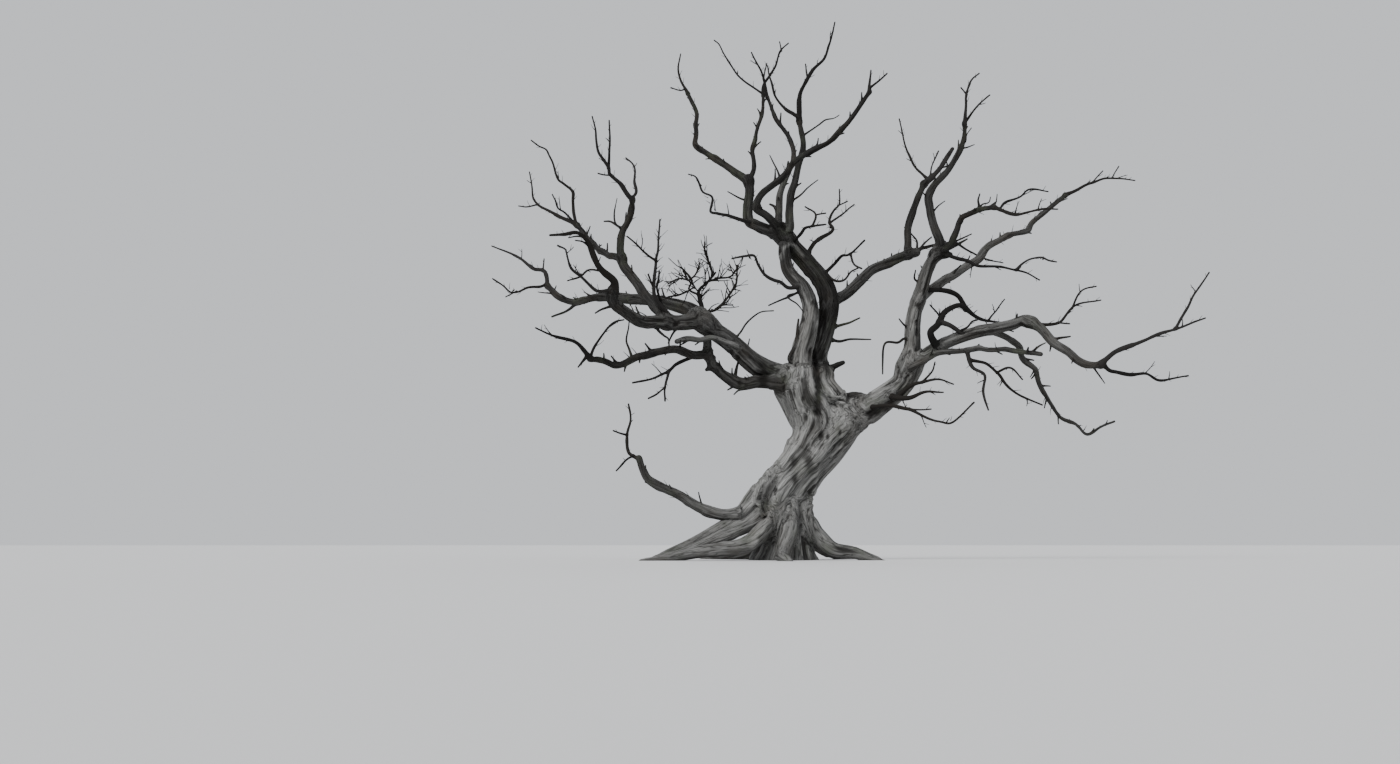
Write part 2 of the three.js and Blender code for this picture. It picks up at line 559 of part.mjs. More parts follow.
    leaders: [
      { girth: 78, tip: 52, route: [[1900, 780, 4730], [1990, 800, 4840], [2100, 830, 5020]] },
      { of: 0, at: 0.14, girth: 38, route: [[1640, 820, 4790], [1540, 860, 5000], [1450, 930, 5400]] },
      { of: 0, at: 0.5, girth: 28, route: [[2110, 900, 4810]] },
      { of: 0, at: 0.18, girth: 26, route: [[1847, 800, 4813], [1926, 810, 4991]] },
    ],
  },
  {
    name: "right_thin_twigs", on: "centre_right_bough", at: TIP,
    leaders: [
      { girth: 48, route: [[1694, 620, 3771], [1827, 650, 3805], [2037, 690, 3841], [2202, 710, 3901],
        [2308, 720, 3949]] },
      { of: 0, at: 0.06, girth: 32, route: [[1635, 640, 3863], [1572, 650, 3954]] },
      { of: 0, at: 0.1, girth: 32, route: [[1738, 600, 3846], [1819, 590, 3912]] },
      { of: 0, at: 0.7, girth: 34, route: [[2222, 690, 3771], [2314, 680, 3716], [2407, 660, 3662],
        [2546, 640, 3620], [2684, 620, 3592]] },
    ],
  },
  {
    name: "right_trail_twigs", on: "right_upright", at: 0.95,
    leaders: [
      { girth: 44, route: [[2126, -180, 3646], [2254, -230, 3610], [2369, -280, 3561],
        [2521, -330, 3545], [2682, -370, 3537], [2834, -410, 3504], [2973, -450, 3462],
        [3121, -500, 3379]] },
      { of: 0, at: 0.76, girth: 30, route: [[2918, -430, 3579], [3001, -450, 3634], [3153, -480, 3657],
        [3233, -500, 3623], [3337, -520, 3603]] },
    ],
  },
  {
    name: "right_rise_twigs", on: "right_rise", at: TIP,
    leaders: [
      { girth: 42, route: [[2272, -780, 5456], [2283, -800, 5590], [2278, -820, 5688],
        [2305, -840, 5785], [2366, -870, 5908], [2451, -890, 5981]] },
      { of: 0, at: 0.53, girth: 22, route: [[2222, -830, 5798]] },
      { of: 0, at: 0.03, girth: 30, route: [[2312, -740, 5419], [2381, -710, 5512], [2441, -690, 5590],
        [2575, -660, 5704]] },
    ],
  },
  {
    name: "right_curl_twigs", on: "right_curl", at: TIP,
    leaders: [
      { girth: 46, route: [[2880, -870, 4190], [3150, -1010, 4260], [3370, -1110, 4260]] },
      { of: 0, at: 0.1, girth: 32, route: [[2740, -620, 4350], [2910, -600, 4410], [3030, -570, 4510],
        [3260, -520, 4480]] },
    ],
  },
  {
    name: "upper_right_twigs", on: "upper_right_arm", at: TIP,
    leaders: [
      { girth: 50, route: [[3670, 1280, 4530], [3870, 1380, 4620], [4080, 1470, 4650], [4330, 1560, 4620]] },
      { of: 0, at: 0.42, girth: 22, route: [[3940, 1360, 4740]] },
      { of: 0, at: 0.7, girth: 20, route: [[4140, 1500, 4800]] },
    ],
  },
  {
    name: "far_right_twigs", on: "far_right_arm", at: TIP,
    leaders: [
      { girth: 62, route: [[3980, -740, 2470], [4400, -950, 2650], [4820, -1150, 2800],
        [5120, -1280, 2910]] },
      { of: 0, at: 0.02, girth: 50, route: [[3924, -650, 2276], [4012, -630, 2245], [4162, -610, 2221],
        [4373, -590, 2231], [4519, -550, 2146], [4701, -520, 2176], [4882, -480, 2206]] },
      { of: 0, at: 0.74, girth: 34, route: [[4890, -1120, 3010], [5000, -1060, 3200],
        [5190, -1000, 3470]] },
    ],
  },
  {
    name: "far_right_shoot_twigs", on: "far_right_bough", at: TIP,
    leaders: [
      { girth: 38, route: [[3180, -280, 2830], [3340, -240, 2850], [3540, -160, 3060], [3860, -60, 3130]] },
      { of: 0, at: 0.6, girth: 24, route: [[3630, -200, 3250], [3810, -240, 3300]] },
      { of: 0, at: 0.35, girth: 22, route: [[3470, -300, 2840]] },
    ],
  },
  {
    name: "hanging_twigs", on: "second_beam", at: 0.5,
    leaders: [
      { girth: 44, route: [[2280, -640, 2300], [2430, -660, 2220], [2400, -700, 2000], [2460, -740, 1790]] },
      { of: 0, at: 0.15, girth: 36, route: [[2450, -600, 2350], [2580, -560, 2240], [2670, -540, 2110],
        [2840, -500, 1970], [3110, -460, 1850]] },
      { of: 1, at: 0.35, girth: 24, route: [[2740, -620, 2300], [2880, -660, 2160]] },
    ],
  },
  {
    name: "arch_twigs", on: "far_right_bough", at: 0.29,
    leaders: [
      { girth: 92, route: [[1794, -300, 2677], [1789, -320, 2751], [1857, -310, 2818],
        [1914, -270, 2892], [1958, -220, 2972], [2026, -160, 3039], [2111, -90, 3064], [2196, -20, 3039],
        [2268, 50, 2990], [2351, 120, 2923], [2435, 200, 2880], [2531, 290, 2867], [2664, 400, 2855]] },
      { of: 0, at: 0.58, girth: 50, tip: 58, route: [[2173, -30, 3113], [2114, -50, 3193],
        [2030, -70, 3243], [1933, -90, 3255], [1836, -105, 3255], [1739, -120, 3255]] },
      { of: 0, at: 0.835, girth: 26, route: [[2580, 420, 3000], [2690, 460, 3140]] },
      { of: 0, at: 0.24, girth: 54, tip: 46, route: [[1997, -300, 2824], [2081, -290, 2782],
        [2153, -280, 2739], [2212, -270, 2702]] },
      { of: 0, at: 0.27, girth: 22, route: [[1855, -300, 2990], [1784, -330, 3070]] },
      { of: 3, at: 0.75, girth: 26, route: [[2227, -330, 2800], [2289, -300, 2867], [2350, -260, 2886]] },
    ],
  },
  {
    name: "right_foot_twigs", on: "right_bough", at: 0.42,
    leaders: [
      { girth: 48, route: [[1170, -320, 1840], [1415, -440, 1822], [1550, -510, 1775], [1853, -650, 1651],
        [2010, -720, 1636], [2290, -820, 1880]] },
      { of: 0, at: 0.42, girth: 22, route: [[1620, -540, 1790], [1770, -600, 1800]] },
    ],
  },
  {
    name: "right_fork_twigs", on: "right_bough", at: 0.62,
    leaders: [
      { girth: 76, route: [[1400, -290, 1930], [1560, -350, 1955], [1750, -410, 2009], [1922, -470, 2003]] },
      { of: 0, at: 0.3, girth: 50, route: [[1530, -340, 2080], [1690, -380, 2135], [1870, -420, 2158],
        [2047, -460, 2102]] },
      { of: 1, at: 0.5, girth: 28, route: [[1800, -370, 2270], [1830, -350, 2370]] },
    ],
  },
];

// The place of a route's point
function spot([across, back, up], depth = CROWN_DEPTH) {
  const inPlane = new THREE.Vector3(across, 0, up);
  return EYE.clone().lerp(inPlane, 1 - (depth * back) / EYE.y);
}

// A number that stands for a name, so that each limb has its own chances
function seedOf(name) {
  return [...name].reduce((sum, letter, place) => sum + letter.charCodeAt(0) * (place + 1), 0) % 997;
}

// A number from 0 to 1 that depends only on the seed and the step
function chance(seed, step) {
  const wave = Math.sin(seed * 12.9898 + step * 78.233) * 43758.5453;
  return wave - Math.floor(wave);
}

// A smooth line through a limb's points, with a slow waver that fades out at both ends
class GnarledLine extends THREE.Curve {
  constructor(points, girth, seed) {
    super();
    this.line = new THREE.CatmullRomCurve3(points, false, "centripetal");
    this.waver = GNARL * girth;
    this.waves = this.line.getLength() / Math.max(SHORTEST_WAVE, GNARL_WAVE * girth);
    this.phases = [0, 1, 2].map((axis) => chance(seed, axis));
  }

  getPoint(share, target = new THREE.Vector3()) {
    const fade = this.waver * Math.sin(Math.PI * share);
    this.line.getPoint(share, target);
    target.x += fade * Math.sin(2 * Math.PI * (this.waves * share + this.phases[0]));
    target.y += fade * Math.sin(2 * Math.PI * (this.waves * share + this.phases[1]));
    target.z += fade * Math.sin(2 * Math.PI * (this.waves * share + this.phases[2]));
    return target;
  }
}

// A tapering limb: its line, the girth at its foot and tip, and its rings and sides
function limb(points, [foot, tip], seed, collar = COLLAR) {
  const line = new GnarledLine(points, foot, seed);
  const length = line.getLength();
  const sides = SIDES.find(({ over }) => foot > over).sides;
  const rings = Math.max(2, Math.round(length / Math.max(RING_STEP, STOUT_STEP * foot)));
  const radius = (share) => {
    const flare = collar * Math.exp((-share * length) / (COLLAR_REACH * foot));
    return 0.5 * THREE.MathUtils.lerp(foot, tip, share) * (1 + flare);
  };
  return { line, length, rings, sides, radius };
}

// A place on a limb's middle, measured along the straight pieces between its rings
function chainPoint({ line, rings }, share) {
  const ring = Math.min(Math.floor(share * rings), rings - 1);
  const from = line.getPointAt(ring / rings);
  return from.lerp(line.getPointAt((ring + 1) / rings), share * rings - ring);
}

// Where a limb starts on its carrier. At the tip it starts just inside the carrier's end.
function startOn(carrier, at) {
  const inside = 1 - (2 * TIP_SINK * carrier.radius(1)) / carrier.length;
  return chainPoint(carrier, Math.min(at, inside));
}

// The limb's solid: the rings of a plain cylinder are carried along the line, each one turned square to
// it and scaled to its own radius, and the middle of the end stands out as a blunt point.
function limbSolid({ line, rings, sides, radius }, grow = 0) {
  const shape = new THREE.CylinderGeometry(1, 1, 1, sides, rings);
  const frames = line.computeFrenetFrames(rings, false);
  const places = shape.attributes.position;
  const point = new THREE.Vector3();
  for (let i = 0; i < places.count; i += 1) {
    const ring = Math.round((places.getY(i) + 0.5) * rings);
    const size = radius(ring / rings) + grow / Math.cos(Math.PI / sides);
    const inMiddle = Math.hypot(places.getX(i), places.getZ(i)) < 0.5;
    const past = ring === 0 ? -grow : ring === rings ? grow + (inMiddle ? BLUNT_END * size : 0) : 0;
    line.getPointAt(ring / rings, point);
    point.addScaledVector(frames.normals[ring], places.getX(i) * size);
    point.addScaledVector(frames.binormals[ring], -places.getZ(i) * size);
    point.addScaledVector(frames.tangents[ring], past);
    places.setXYZ(i, point.x, point.y, point.z);
  }
  return closedSolid(shape);
}

// A closed three.js shape as a solid that can be joined and cut
function closedSolid(shape) {
  shape.deleteAttribute("normal");
  shape.deleteAttribute("uv");
  const merged = mergeVertices(shape, WELD);
  return new wasm.Manifold(new wasm.Mesh({
    numProp: 3,
    vertProperties: Float32Array.from(merged.attributes.position.array),
    triVerts: Uint32Array.from(merged.index.array),
  }));
}

// A row of the trunk's table at any height: a smooth curve through the rows, column by column
function trunkRow(height) {
  const last = TRUNK_RINGS.length - 1;
  const above = Math.min(last, Math.max(1, TRUNK_RINGS.findIndex((row) => row[0] >= height)));
  const [low, high] = [TRUNK_RINGS[above - 1], TRUNK_RINGS[above]];
  const [before, after] = [TRUNK_RINGS[Math.max(0, above - 2)], TRUNK_RINGS[Math.min(last, above + 1)]];
  const run = high[0] - low[0];
  const share = (height - low[0]) / run;
  const column = (k) => {
    const lowSlope = (run * (high[k] - before[k])) / (high[0] - before[0]);
    const highSlope = (run * (after[k] - low[k])) / (after[0] - low[0]);
    const bend = (2 * low[k] - 2 * high[k] + lowSlope + highSlope) * share ** 3;
    const swell = (3 * high[k] - 3 * low[k] - 2 * lowSlope - highSlope) * share ** 2;
    return bend + swell + lowSlope * share + low[k];
  };
  return { across: column(1), halfWidth: column(2), halfDepth: column(3) };
}

// How far the grain's ridges and the dark groove between the stems stand out or in, as a share
function trunkRelief(angle, height) {
  const turned = angle - TRUNK_TWIST * height;
  const flutes = FLUTES.reduce((sum, { count, depth, phase }) => {
    return sum + depth * Math.sin(count * turned + phase);
  }, 0);
  const offAngle = Math.atan2(Math.sin(angle - GROOVE.angle), Math.cos(angle - GROOVE.angle));
  const reach = THREE.MathUtils.smoothstep(height, GROOVE.from, GROOVE.deepAt);
  return 1 + flutes - GROOVE.depth * reach * Math.exp(-((offAngle / GROOVE.width) ** 2));
}

// The trunk's solid: level rings from the ground to the fork, with its roots joined on
function trunkSolid(grow = 0) {
  const shape = new THREE.CylinderGeometry(1, 1, 1, TRUNK_SIDES, TRUNK_STEPS);
  const top = TRUNK_RINGS.at(-1)[0];
  const places = shape.attributes.position;
  for (let i = 0; i < places.count; i += 1) {
    const height = top * (places.getY(i) + 0.5);
    const { across, halfWidth, halfDepth } = trunkRow(height);
    const x = places.getX(i);
    const y = -places.getZ(i);
    const relief = trunkRelief(Math.atan2(y, x), height);
    const isTop = Math.hypot(x, y) < 0.5 && height > 0;
    const up = height + (isTop ? TRUNK_DOME : 0) + (height > 0 ? grow : 0);
    const right = across + x * (halfWidth * relief + grow);
    const away = TRUNK_BACK + y * (halfDepth * relief + grow);
    places.setXYZ(i, right, away, up);
  }
  const roots = rootLimbs.map((root) => limbSolid(root, grow));
  return wasm.Manifold.union([closedSolid(shape), ...roots]).trimByPlane([0, 0, 1], 0);
}

const rootLimbs = ROOTS.map(({ name, route, girth }) => {
  return limb(route.map((point) => spot(point, 1)), girth, seedOf(name), 0);
});

// A limb's spurs start on its line and reach out by steps measured from there.
function spurLimbs(carrier, spurs = [], seed) {
  return spurs.map(({ at, girth, reach }, place) => {
    const foot = startOn(carrier, at);
    const points = [foot, ...reach.map((step) => foot.clone().add(new THREE.Vector3(...step)))];
    return limb(points, [girth, SPUR_TAPER * girth], seed + place + 1);
  });
}

// All limbs by node name. The first limb of a node is the one that others start on.
const limbs = new Map([["trunk", rootLimbs]]);

function boughLimbs({ name, on, at, girth, route }, spurs) {
  const start = on === "trunk" ? [] : [startOn(limbs.get(on)[0], at)];
  const main = limb([...start, ...route.map((point) => spot(point))], girth, seedOf(name));
  return [main, ...spurLimbs(main, spurs, seedOf(name))];
}

for (const bough of BOUGHS) {
  limbs.set(bough.name, boughLimbs(bough, bough.spurs));
}

function leaderLimbs({ name, on, at, leaders }) {
  const made = [];
  leaders.forEach(({ of, at: share, girth, tip = LEADER_TIP, route }, place) => {
    const start = place === 0 ? startOn(limbs.get(on)[0], at) : startOn(made[of], share);
    made.push(limb([start, ...route.map((point) => spot(point))], [girth, tip], seedOf(name) + place));
  });
  return made;
}

for (const mass of MASSES) {
  limbs.set(mass.name, leaderLimbs(mass));
}

// The trunk as short upright pieces of its middle line, to keep twigs off it
function trunkPieces() {
  return TRUNK_RINGS.slice(1).map(([height, across, halfWidth, halfDepth], place) => {
    const [lower, lowerAcross] = TRUNK_RINGS[place];
    const from = new THREE.Vector3(lowerAcross, TRUNK_BACK, lower);
    const to = new THREE.Vector3(across, TRUNK_BACK, height);
    return { piece: new THREE.Line3(from, to), radius: Math.max(halfWidth, halfDepth), node: "trunk" };
  });
}

// A limb as straight pieces with the larger radius of their ends
function limbPieces({ line, rings, radius }, node) {
  const points = line.getSpacedPoints(rings);
  return points.slice(1).map((to, place) => {
    return { piece: new THREE.Line3(points[place], to), radius: radius(place / rings), node };
  });
}

const taken = trunkPieces();
for (const [node, own] of limbs) {
  taken.push(...own.flatMap((each) => limbPieces(each, node)));
}

// Whether a twig stays inside the crown's height and clear of every other node
function hasRoom(twig, node) {
  const pieces = limbPieces(twig, node);
  const inside = pieces.every(({ piece }) => piece.end.z < CROWN_TOP && piece.end.z > GROUND_ROOM);
  return inside && pieces.every((own) => taken.every((other) => {
    const room = own.radius + other.radius + TWIG.room;
    return other.node === node || own.piece.distanceSqToLine3(other.piece) > room * room;
  }));
}

// The seeded rule: side twigs stand along a leader at even steps, each one turned on from the last by the
// golden angle. A twig leans out and a little up, has a few kinks, and is shorter near the leader's tip.
function sideTwigs(leader, { name, spacing = TWIG.spacing, reach = TWIG.reach }, seed) {
  const { lerp } = THREE.MathUtils;
  const count = Math.floor(leader.length / spacing);
  const twigs = [];
  for (let place = 1; place <= count; place += 1) {
    const share = (place + TWIG.stray * chance(seed, place)) / (count + 1);
    const along = leader.line.getTangentAt(share);
    const sideways = new THREE.Vector3(-along.y, along.x, 0).cross(along).normalize();
    sideways.applyAxisAngle(along, place * GOLDEN_TURN + TWIG.turn * chance(seed, place + 0.5));
    const heading = along.multiplyScalar(Math.cos(TWIG.spread));
    heading.addScaledVector(sideways, Math.sin(TWIG.spread));
    heading.z += TWIG.lift;
    heading.normalize();
    const fullness = lerp(TWIG.shortest, TWIG.longest, chance(seed, place + 0.25));
    const length = reach * lerp(TWIG.atFoot, TWIG.atTip, share) * fullness;
    const points = [startOn(leader, share)];
    for (let joint = 1; joint <= TWIG.joints; joint += 1) {
      const kink = [0, 1, 2].map((axis) => TWIG.kink * (chance(seed + joint, place + axis / 7) - 0.5));
      heading.add(new THREE.Vector3(...kink)).normalize();
      points.push(points.at(-1).clone().addScaledVector(heading, length / TWIG.joints));
    }
    const foot = Math.min(TWIG.girth, TWIG.stoutest * leader.radius(share));
    const twig = { ...limb(points, [foot, TWIG.tip], seed + place), rings: TWIG.rings, sides: TWIG.sides };
    if (hasRoom(twig, name)) {
      twigs.push(twig);
    }
  }
  return twigs;
}

for (const mass of MASSES) {
  const own = limbs.get(mass.name);
  const twigs = own.flatMap((leader, place) => sideTwigs(leader, mass, seedOf(mass.name) + 10 * place));
  own.push(...twigs);
  taken.push(...twigs.flatMap((twig) => limbPieces(twig, mass.name)));
}

// Every solid is cut clear of the ones made before it, so that a foot meets its carrier face to face.
const finished = [];

function boxesMeet(a, b) {
  return a.min.every((low, axis) => low <= b.max[axis]) && b.min.every((low, axis) => low <= a.max[axis]);
}

function cutClear(solid) {
  const box = solid.boundingBox();
  const near = finished.filter((other) => boxesMeet(box, other.box));
  const cut = near.reduce((rest, other) => rest.subtract(other.grown), solid);
  const bodies = cut.decompose().sort((a, b) => b.volume() - a.volume());
  return bodies[0];
}

function nodeMesh(name, solid, look) {
  const { vertProperties, triVerts } = solid.getMesh();
  const shape = new THREE.BufferGeometry();
  shape.setAttribute("position", new THREE.BufferAttribute(vertProperties, 3));
  shape.setIndex(new THREE.BufferAttribute(triVerts, 1));
  shape.computeVertexNormals();
  const mesh = new THREE.Mesh(shape, look);
  mesh.name = name;
  return mesh;
}

const paleWood = new THREE.MeshStandardMaterial({ color: 0x8d8a80, roughness: 0.9, metalness: 0 });
const darkWood = new THREE.MeshStandardMaterial({ color: 0x5f5a50, roughness: 0.9, metalness: 0 });
const twigWood = new THREE.MeshStandardMaterial({ color: 0x4a443b, roughness: 0.95, metalness: 0 });
const PALE_NODES = ["trunk", "pale_stem", "pale_stub", "right_bough", "left_bough", "low_snag"];

const tree = new THREE.Group();

function addNode(name, makeSolid, look) {
  const solid = cutClear(makeSolid(0));
  const grown = makeSolid(CLEARANCE);
  finished.push({ grown, box: grown.boundingBox() });
  tree.add(nodeMesh(name, solid, look));
}

function joined(name) {
  return (grow) => wasm.Manifold.union(limbs.get(name).map((each) => limbSolid(each, grow)));
}

addNode("trunk", trunkSolid, paleWood);

for (const { name } of BOUGHS) {
  addNode(name, joined(name), PALE_NODES.includes(name) ? paleWood : darkWood);
}

for (const { name } of MASSES) {
  addNode(name, joined(name), twigWood);
}

export default tree;
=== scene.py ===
# %% [markdown]
# # A dead old tree
#
# The object is a leafless old tree without bark, weathered to grey: a stout leaning trunk with a flared
# foot, two stems that twist round each other, and crooked boughs that end in bare twigs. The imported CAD
# model gives every limb its place, and this notebook grows finer wood over it by the same rules.

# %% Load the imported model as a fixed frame
import json
import math

import bpy
import numpy as np
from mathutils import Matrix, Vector

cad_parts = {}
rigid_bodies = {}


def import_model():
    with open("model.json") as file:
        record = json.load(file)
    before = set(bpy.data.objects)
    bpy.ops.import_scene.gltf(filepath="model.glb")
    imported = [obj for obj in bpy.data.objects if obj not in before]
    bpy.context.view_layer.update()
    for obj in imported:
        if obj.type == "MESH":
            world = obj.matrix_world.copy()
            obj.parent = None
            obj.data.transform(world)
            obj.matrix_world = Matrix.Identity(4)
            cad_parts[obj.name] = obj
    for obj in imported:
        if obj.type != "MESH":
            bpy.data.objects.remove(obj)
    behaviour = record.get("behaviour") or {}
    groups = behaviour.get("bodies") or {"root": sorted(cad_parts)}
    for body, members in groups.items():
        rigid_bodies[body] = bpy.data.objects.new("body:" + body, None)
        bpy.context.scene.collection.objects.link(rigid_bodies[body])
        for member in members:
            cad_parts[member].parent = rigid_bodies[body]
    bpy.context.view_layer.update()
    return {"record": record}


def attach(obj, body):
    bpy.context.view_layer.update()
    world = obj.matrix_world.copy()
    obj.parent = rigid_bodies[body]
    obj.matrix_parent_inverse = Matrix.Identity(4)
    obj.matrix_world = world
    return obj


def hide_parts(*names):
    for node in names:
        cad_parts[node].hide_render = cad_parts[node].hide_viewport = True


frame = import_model()


# %% [markdown]
# ## Places
#
# The limbs' routes are tables of points: across, back and up, in millimetres. They could be stored as
# finished coordinates, but a tree is easier to shape as it is seen. So each point lies in the upright
# plane through the origin, and "back" slides it along its own line of sight. The outline stays the same.

# %% The viewer's eye and the place of a route's point
MM = 0.001
EYE = np.array([-1009.0, -16300.0, 185.0])
CROWN_DEPTH = 1.4
ROOT_DEPTH = 1


def spot(point, depth=CROWN_DEPTH):
    """The place of a route's point: from the eye towards the point in the upright plane, and further than
    that by the share depth * back / the eye's distance."""
    across, back, up = point
    in_plane = np.array([across, 0.0, up])
    return EYE + (in_plane - EYE) * (1 - depth * back / EYE[1])


print("a point 500 mm back:", spot([1000, 500, 3000]).round(1))

# %% [markdown]
# ## Chance that repeats
#
# A tree looks grown because no two twigs are alike, but a script must give the same tree each time. A
# random number generator would do if it is seeded. Here a plain formula is used instead, because any
# limb can ask for its own numbers in any order.


# %% Numbers that depend only on a name and a step
SEED_LIMIT = 997
CHANCE_TURNS = (12.9898, 78.233)
CHANCE_SPREAD = 43758.5453


def seed_of(name):
    """The sum of each letter's code times its place in the name, kept below the limit."""
    return sum(ord(letter) * (place + 1) for place, letter in enumerate(name)) % SEED_LIMIT


def chance(seed, step):
    """The digits after the point of a large spread times the sine of the seed's and the step's turns."""
    wave = np.sin(np.asarray(seed) * CHANCE_TURNS[0] + np.asarray(step) * CHANCE_TURNS[1]) * CHANCE_SPREAD
    return wave - np.floor(wave)


print("three chances of the mast bough:", chance(seed_of("mast_bough"), np.arange(3)).round(3))

# %% [markdown]
# ## A limb
#
# A real bough is a long taper that wavers, because each year's growth turned a little. It could be drawn
# as a Blender curve with a bevel. A grid worked out with numpy is better here: its rings can be asked
# for their distance, angle and length later, when the joints are blended and the grain is laid on.

# %% A smooth step, and a smooth curve through points
TINY = 1e-12


def smoothstep(value, low, high):
    """0 up to low, 1 from high, and 3t^2 - 2t^3 of the way between."""
    t = np.clip((np.asarray(value, float) - low) / (high - low), 0, 1)
    return t * t * (3 - 2 * t)


def unit(vectors):
    """Each vector divided by its length."""
    vectors = np.asarray(vectors, float)
    return vectors / np.maximum(np.linalg.norm(vectors, axis=-1, keepdims=True), TINY)


def smooth_line(points):
    """A curve through all points whose pace follows the square root of their gaps, so it makes no loops.
    Between two points it is the cubic with the slopes that the neighbouring points give."""
    given = np.asarray(points, float)
    padded = np.vstack([2 * given[0] - given[1], given, 2 * given[-1] - given[-2]])
    gaps = np.sum(np.diff(padded, axis=0) ** 2, axis=1) ** 0.25
    spans = len(given) - 1

    def place(pace):
        pace = np.asarray(pace, float)
        span = np.minimum((pace * spans).astype(int), spans - 1)
        share = (pace * spans - span)[..., None]
        before, low, high, after = (padded[span + k] for k in range(4))
        gap0, gap1, gap2 = (gaps[span + k][..., None] for k in range(3))
        slope_low = ((low - before) / gap0 - (high - before) / (gap0 + gap1) + (high - low) / gap1) * gap1
        slope_high = ((high - low) / gap1 - (after - low) / (gap1 + gap2) + (after - high) / gap2) * gap1
        bend = (2 * low - 2 * high + slope_low + slope_high) * share**3
        swell = (3 * high - 3 * low - 2 * slope_low - slope_high) * share**2
        return bend + swell + slope_low * share + low

    return place


corner = smooth_line([(0, 0, 0), (1, 0, 0), (1, 1, 0)])
print("a quarter of the way round a corner:", corner(np.array(0.25)).round(3))

# %% A tapering limb
# The foot's flare, as a share of the girth, and how far up it fades, in girths
COLLAR, COLLAR_REACH = 0.3, 0.5
# How far a limb at a tip starts inside it, in the tip's half girths
TIP_SINK = 0.3
# The waver's size in girths, and the length of one wave in girths, but at least so many millimetres
GNARL, GNARL_WAVE, SHORTEST_WAVE = 0.11, 6, 420
# The CAD model's rings stand this far apart, or this many girths on a stout limb
RING_STEP, STOUT_STEP = 210, 1.25
CURVE_STEPS = 200
HEADING_STEP = 1e-4
# A limb bleaches from nil to full between these girths, and changes tone between these shares of its length
BLEACHED_GIRTHS = (50, 520)
BLEACH_EASE = (0.2, 0.85)


class Limb:
    """A limb's middle is a smooth curve plus a waver: the sine of the way along times a sine of seeded phase.
    Its radius falls evenly from foot to tip and flares at its foot:
    r(u) = (foot + (tip - foot) * u) / 2 * (1 + collar * exp(-u * length / (reach * foot))).
    A root's first stretch is slimmer, so that it rises out of the trunk without a shoulder."""

    def __init__(self, points, girth, seed, collar=COLLAR, carrier=None, start=0.0, rings=None):
        self.foot, self.tip = girth
        self.seed, self.collar, self.carrier, self.start = seed, collar, carrier, start
        self.bleach = [float(smoothstep(size, *BLEACHED_GIRTHS)) for size in girth]
        self.emerge = (1.0, 1.0)
        self.curve = smooth_line(points)
        self.pace = np.linspace(0, 1, CURVE_STEPS + 1)
        smooth_length = np.linalg.norm(np.diff(self.curve(self.pace), axis=0), axis=1).sum()
        self.waves = smooth_length / max(SHORTEST_WAVE, GNARL_WAVE * self.foot)
        self.phases = chance(seed, np.arange(3))
        steps = np.linalg.norm(np.diff(self.middle(self.pace), axis=0), axis=1)
        self.run = np.concatenate([[0.0], np.cumsum(steps)])
        self.length = self.run[-1]
        self.rings = rings or max(2, int(self.length / max(RING_STEP, STOUT_STEP * self.foot) + 0.5))
        self.children = []
        if isinstance(carrier, Limb):
            carrier.children.append(self)

    def middle(self, pace):
        pace = np.asarray(pace, float)[..., None]
        waver = GNARL * self.foot * np.sin(np.pi * pace)
        return self.curve(pace[..., 0]) + waver * np.sin(2 * np.pi * (self.waves * pace + self.phases))

    def pace_at(self, share):
        return np.interp(np.asarray(share, float) * self.length, self.run, self.pace)

    def point_at(self, share):
        return self.middle(self.pace_at(share))

    def heading_at(self, share):
        pace = self.pace_at(share)
        behind, ahead = self.middle(np.clip([pace - HEADING_STEP, pace + HEADING_STEP], 0, 1))
        return unit(ahead - behind)

    def bleach_at(self, share):
        foot, tip, *ease = self.bleach
        return foot + (tip - foot) * smoothstep(share, *(ease or BLEACH_EASE))

    def radius(self, share):
        grown = np.asarray(share) * self.length
        flare = self.collar * np.exp(-grown / (COLLAR_REACH * self.foot))
        size, reach = self.emerge
        full = size + (1 - size) * smoothstep(grown, 0, reach)
        return 0.5 * (self.foot + (self.tip - self.foot) * np.asarray(share)) * (1 + flare) * full

    def start_on(self, at):
        """Where a limb starts on this one: on the straight piece between two of the CAD model's rings."""
        share = min(at, 1 - 2 * TIP_SINK * float(self.radius(1.0)) / self.length)
        ring = min(int(share * self.rings), self.rings - 1)
        low, high = self.point_at(np.array([ring, ring + 1]) / self.rings)
        return low + (high - low) * (share * self.rings - ring)


trial = Limb([(0, 0, 0), (0, 0, 1000)], (100, 50), seed_of("trial"))
print("waves in a metre of limb:", round(trial.waves, 2))

# %% [markdown]
# ## The trunk
#
# The trunk is not round: it is wider than deep, leans to the right, and long flutes wind up it from the
# flared foot to the fork. Level rings give that form best. A table holds them, and a smooth curve
# through the table's rows gives the ring at any height.

# %% The trunk's rings, flutes and groove
# Height, middle across, half width, half depth
TRUNK_RINGS = np.array([
    [0, -20, 410, 400],
    [120, -10, 350, 345],
    [300, -15, 305, 315],
    [520, -35, 305, 315],
    [710, -35, 335, 325],
    [950, 90, 350, 330],
    [1190, 294, 356, 330],
    [1430, 448, 373, 335],
    [1560, 508, 378, 340],
    [1670, 478, 392, 345],
    [1860, 410, 415, 350],
    [2020, 310, 395, 330],
    [2150, 260, 345, 280],
    [2260, 265, 305, 215],
    [2320, 250, 130, 100],
], float)
TRUNK_TOP = TRUNK_RINGS[-1, 0]
TRUNK_BACK = 20
TRUNK_TWIST = 0.0009
# How many flutes go round, their height as a share of the radius, and where they start
FLUTES = [(5, 0.05, 0.6), (8, 0.03, 2.1), (13, 0.015, 4.0)]
GROOVE = {"angle": -1.15, "width": 0.22, "depth": 0.22, "from": 1500, "deep_at": 1900}


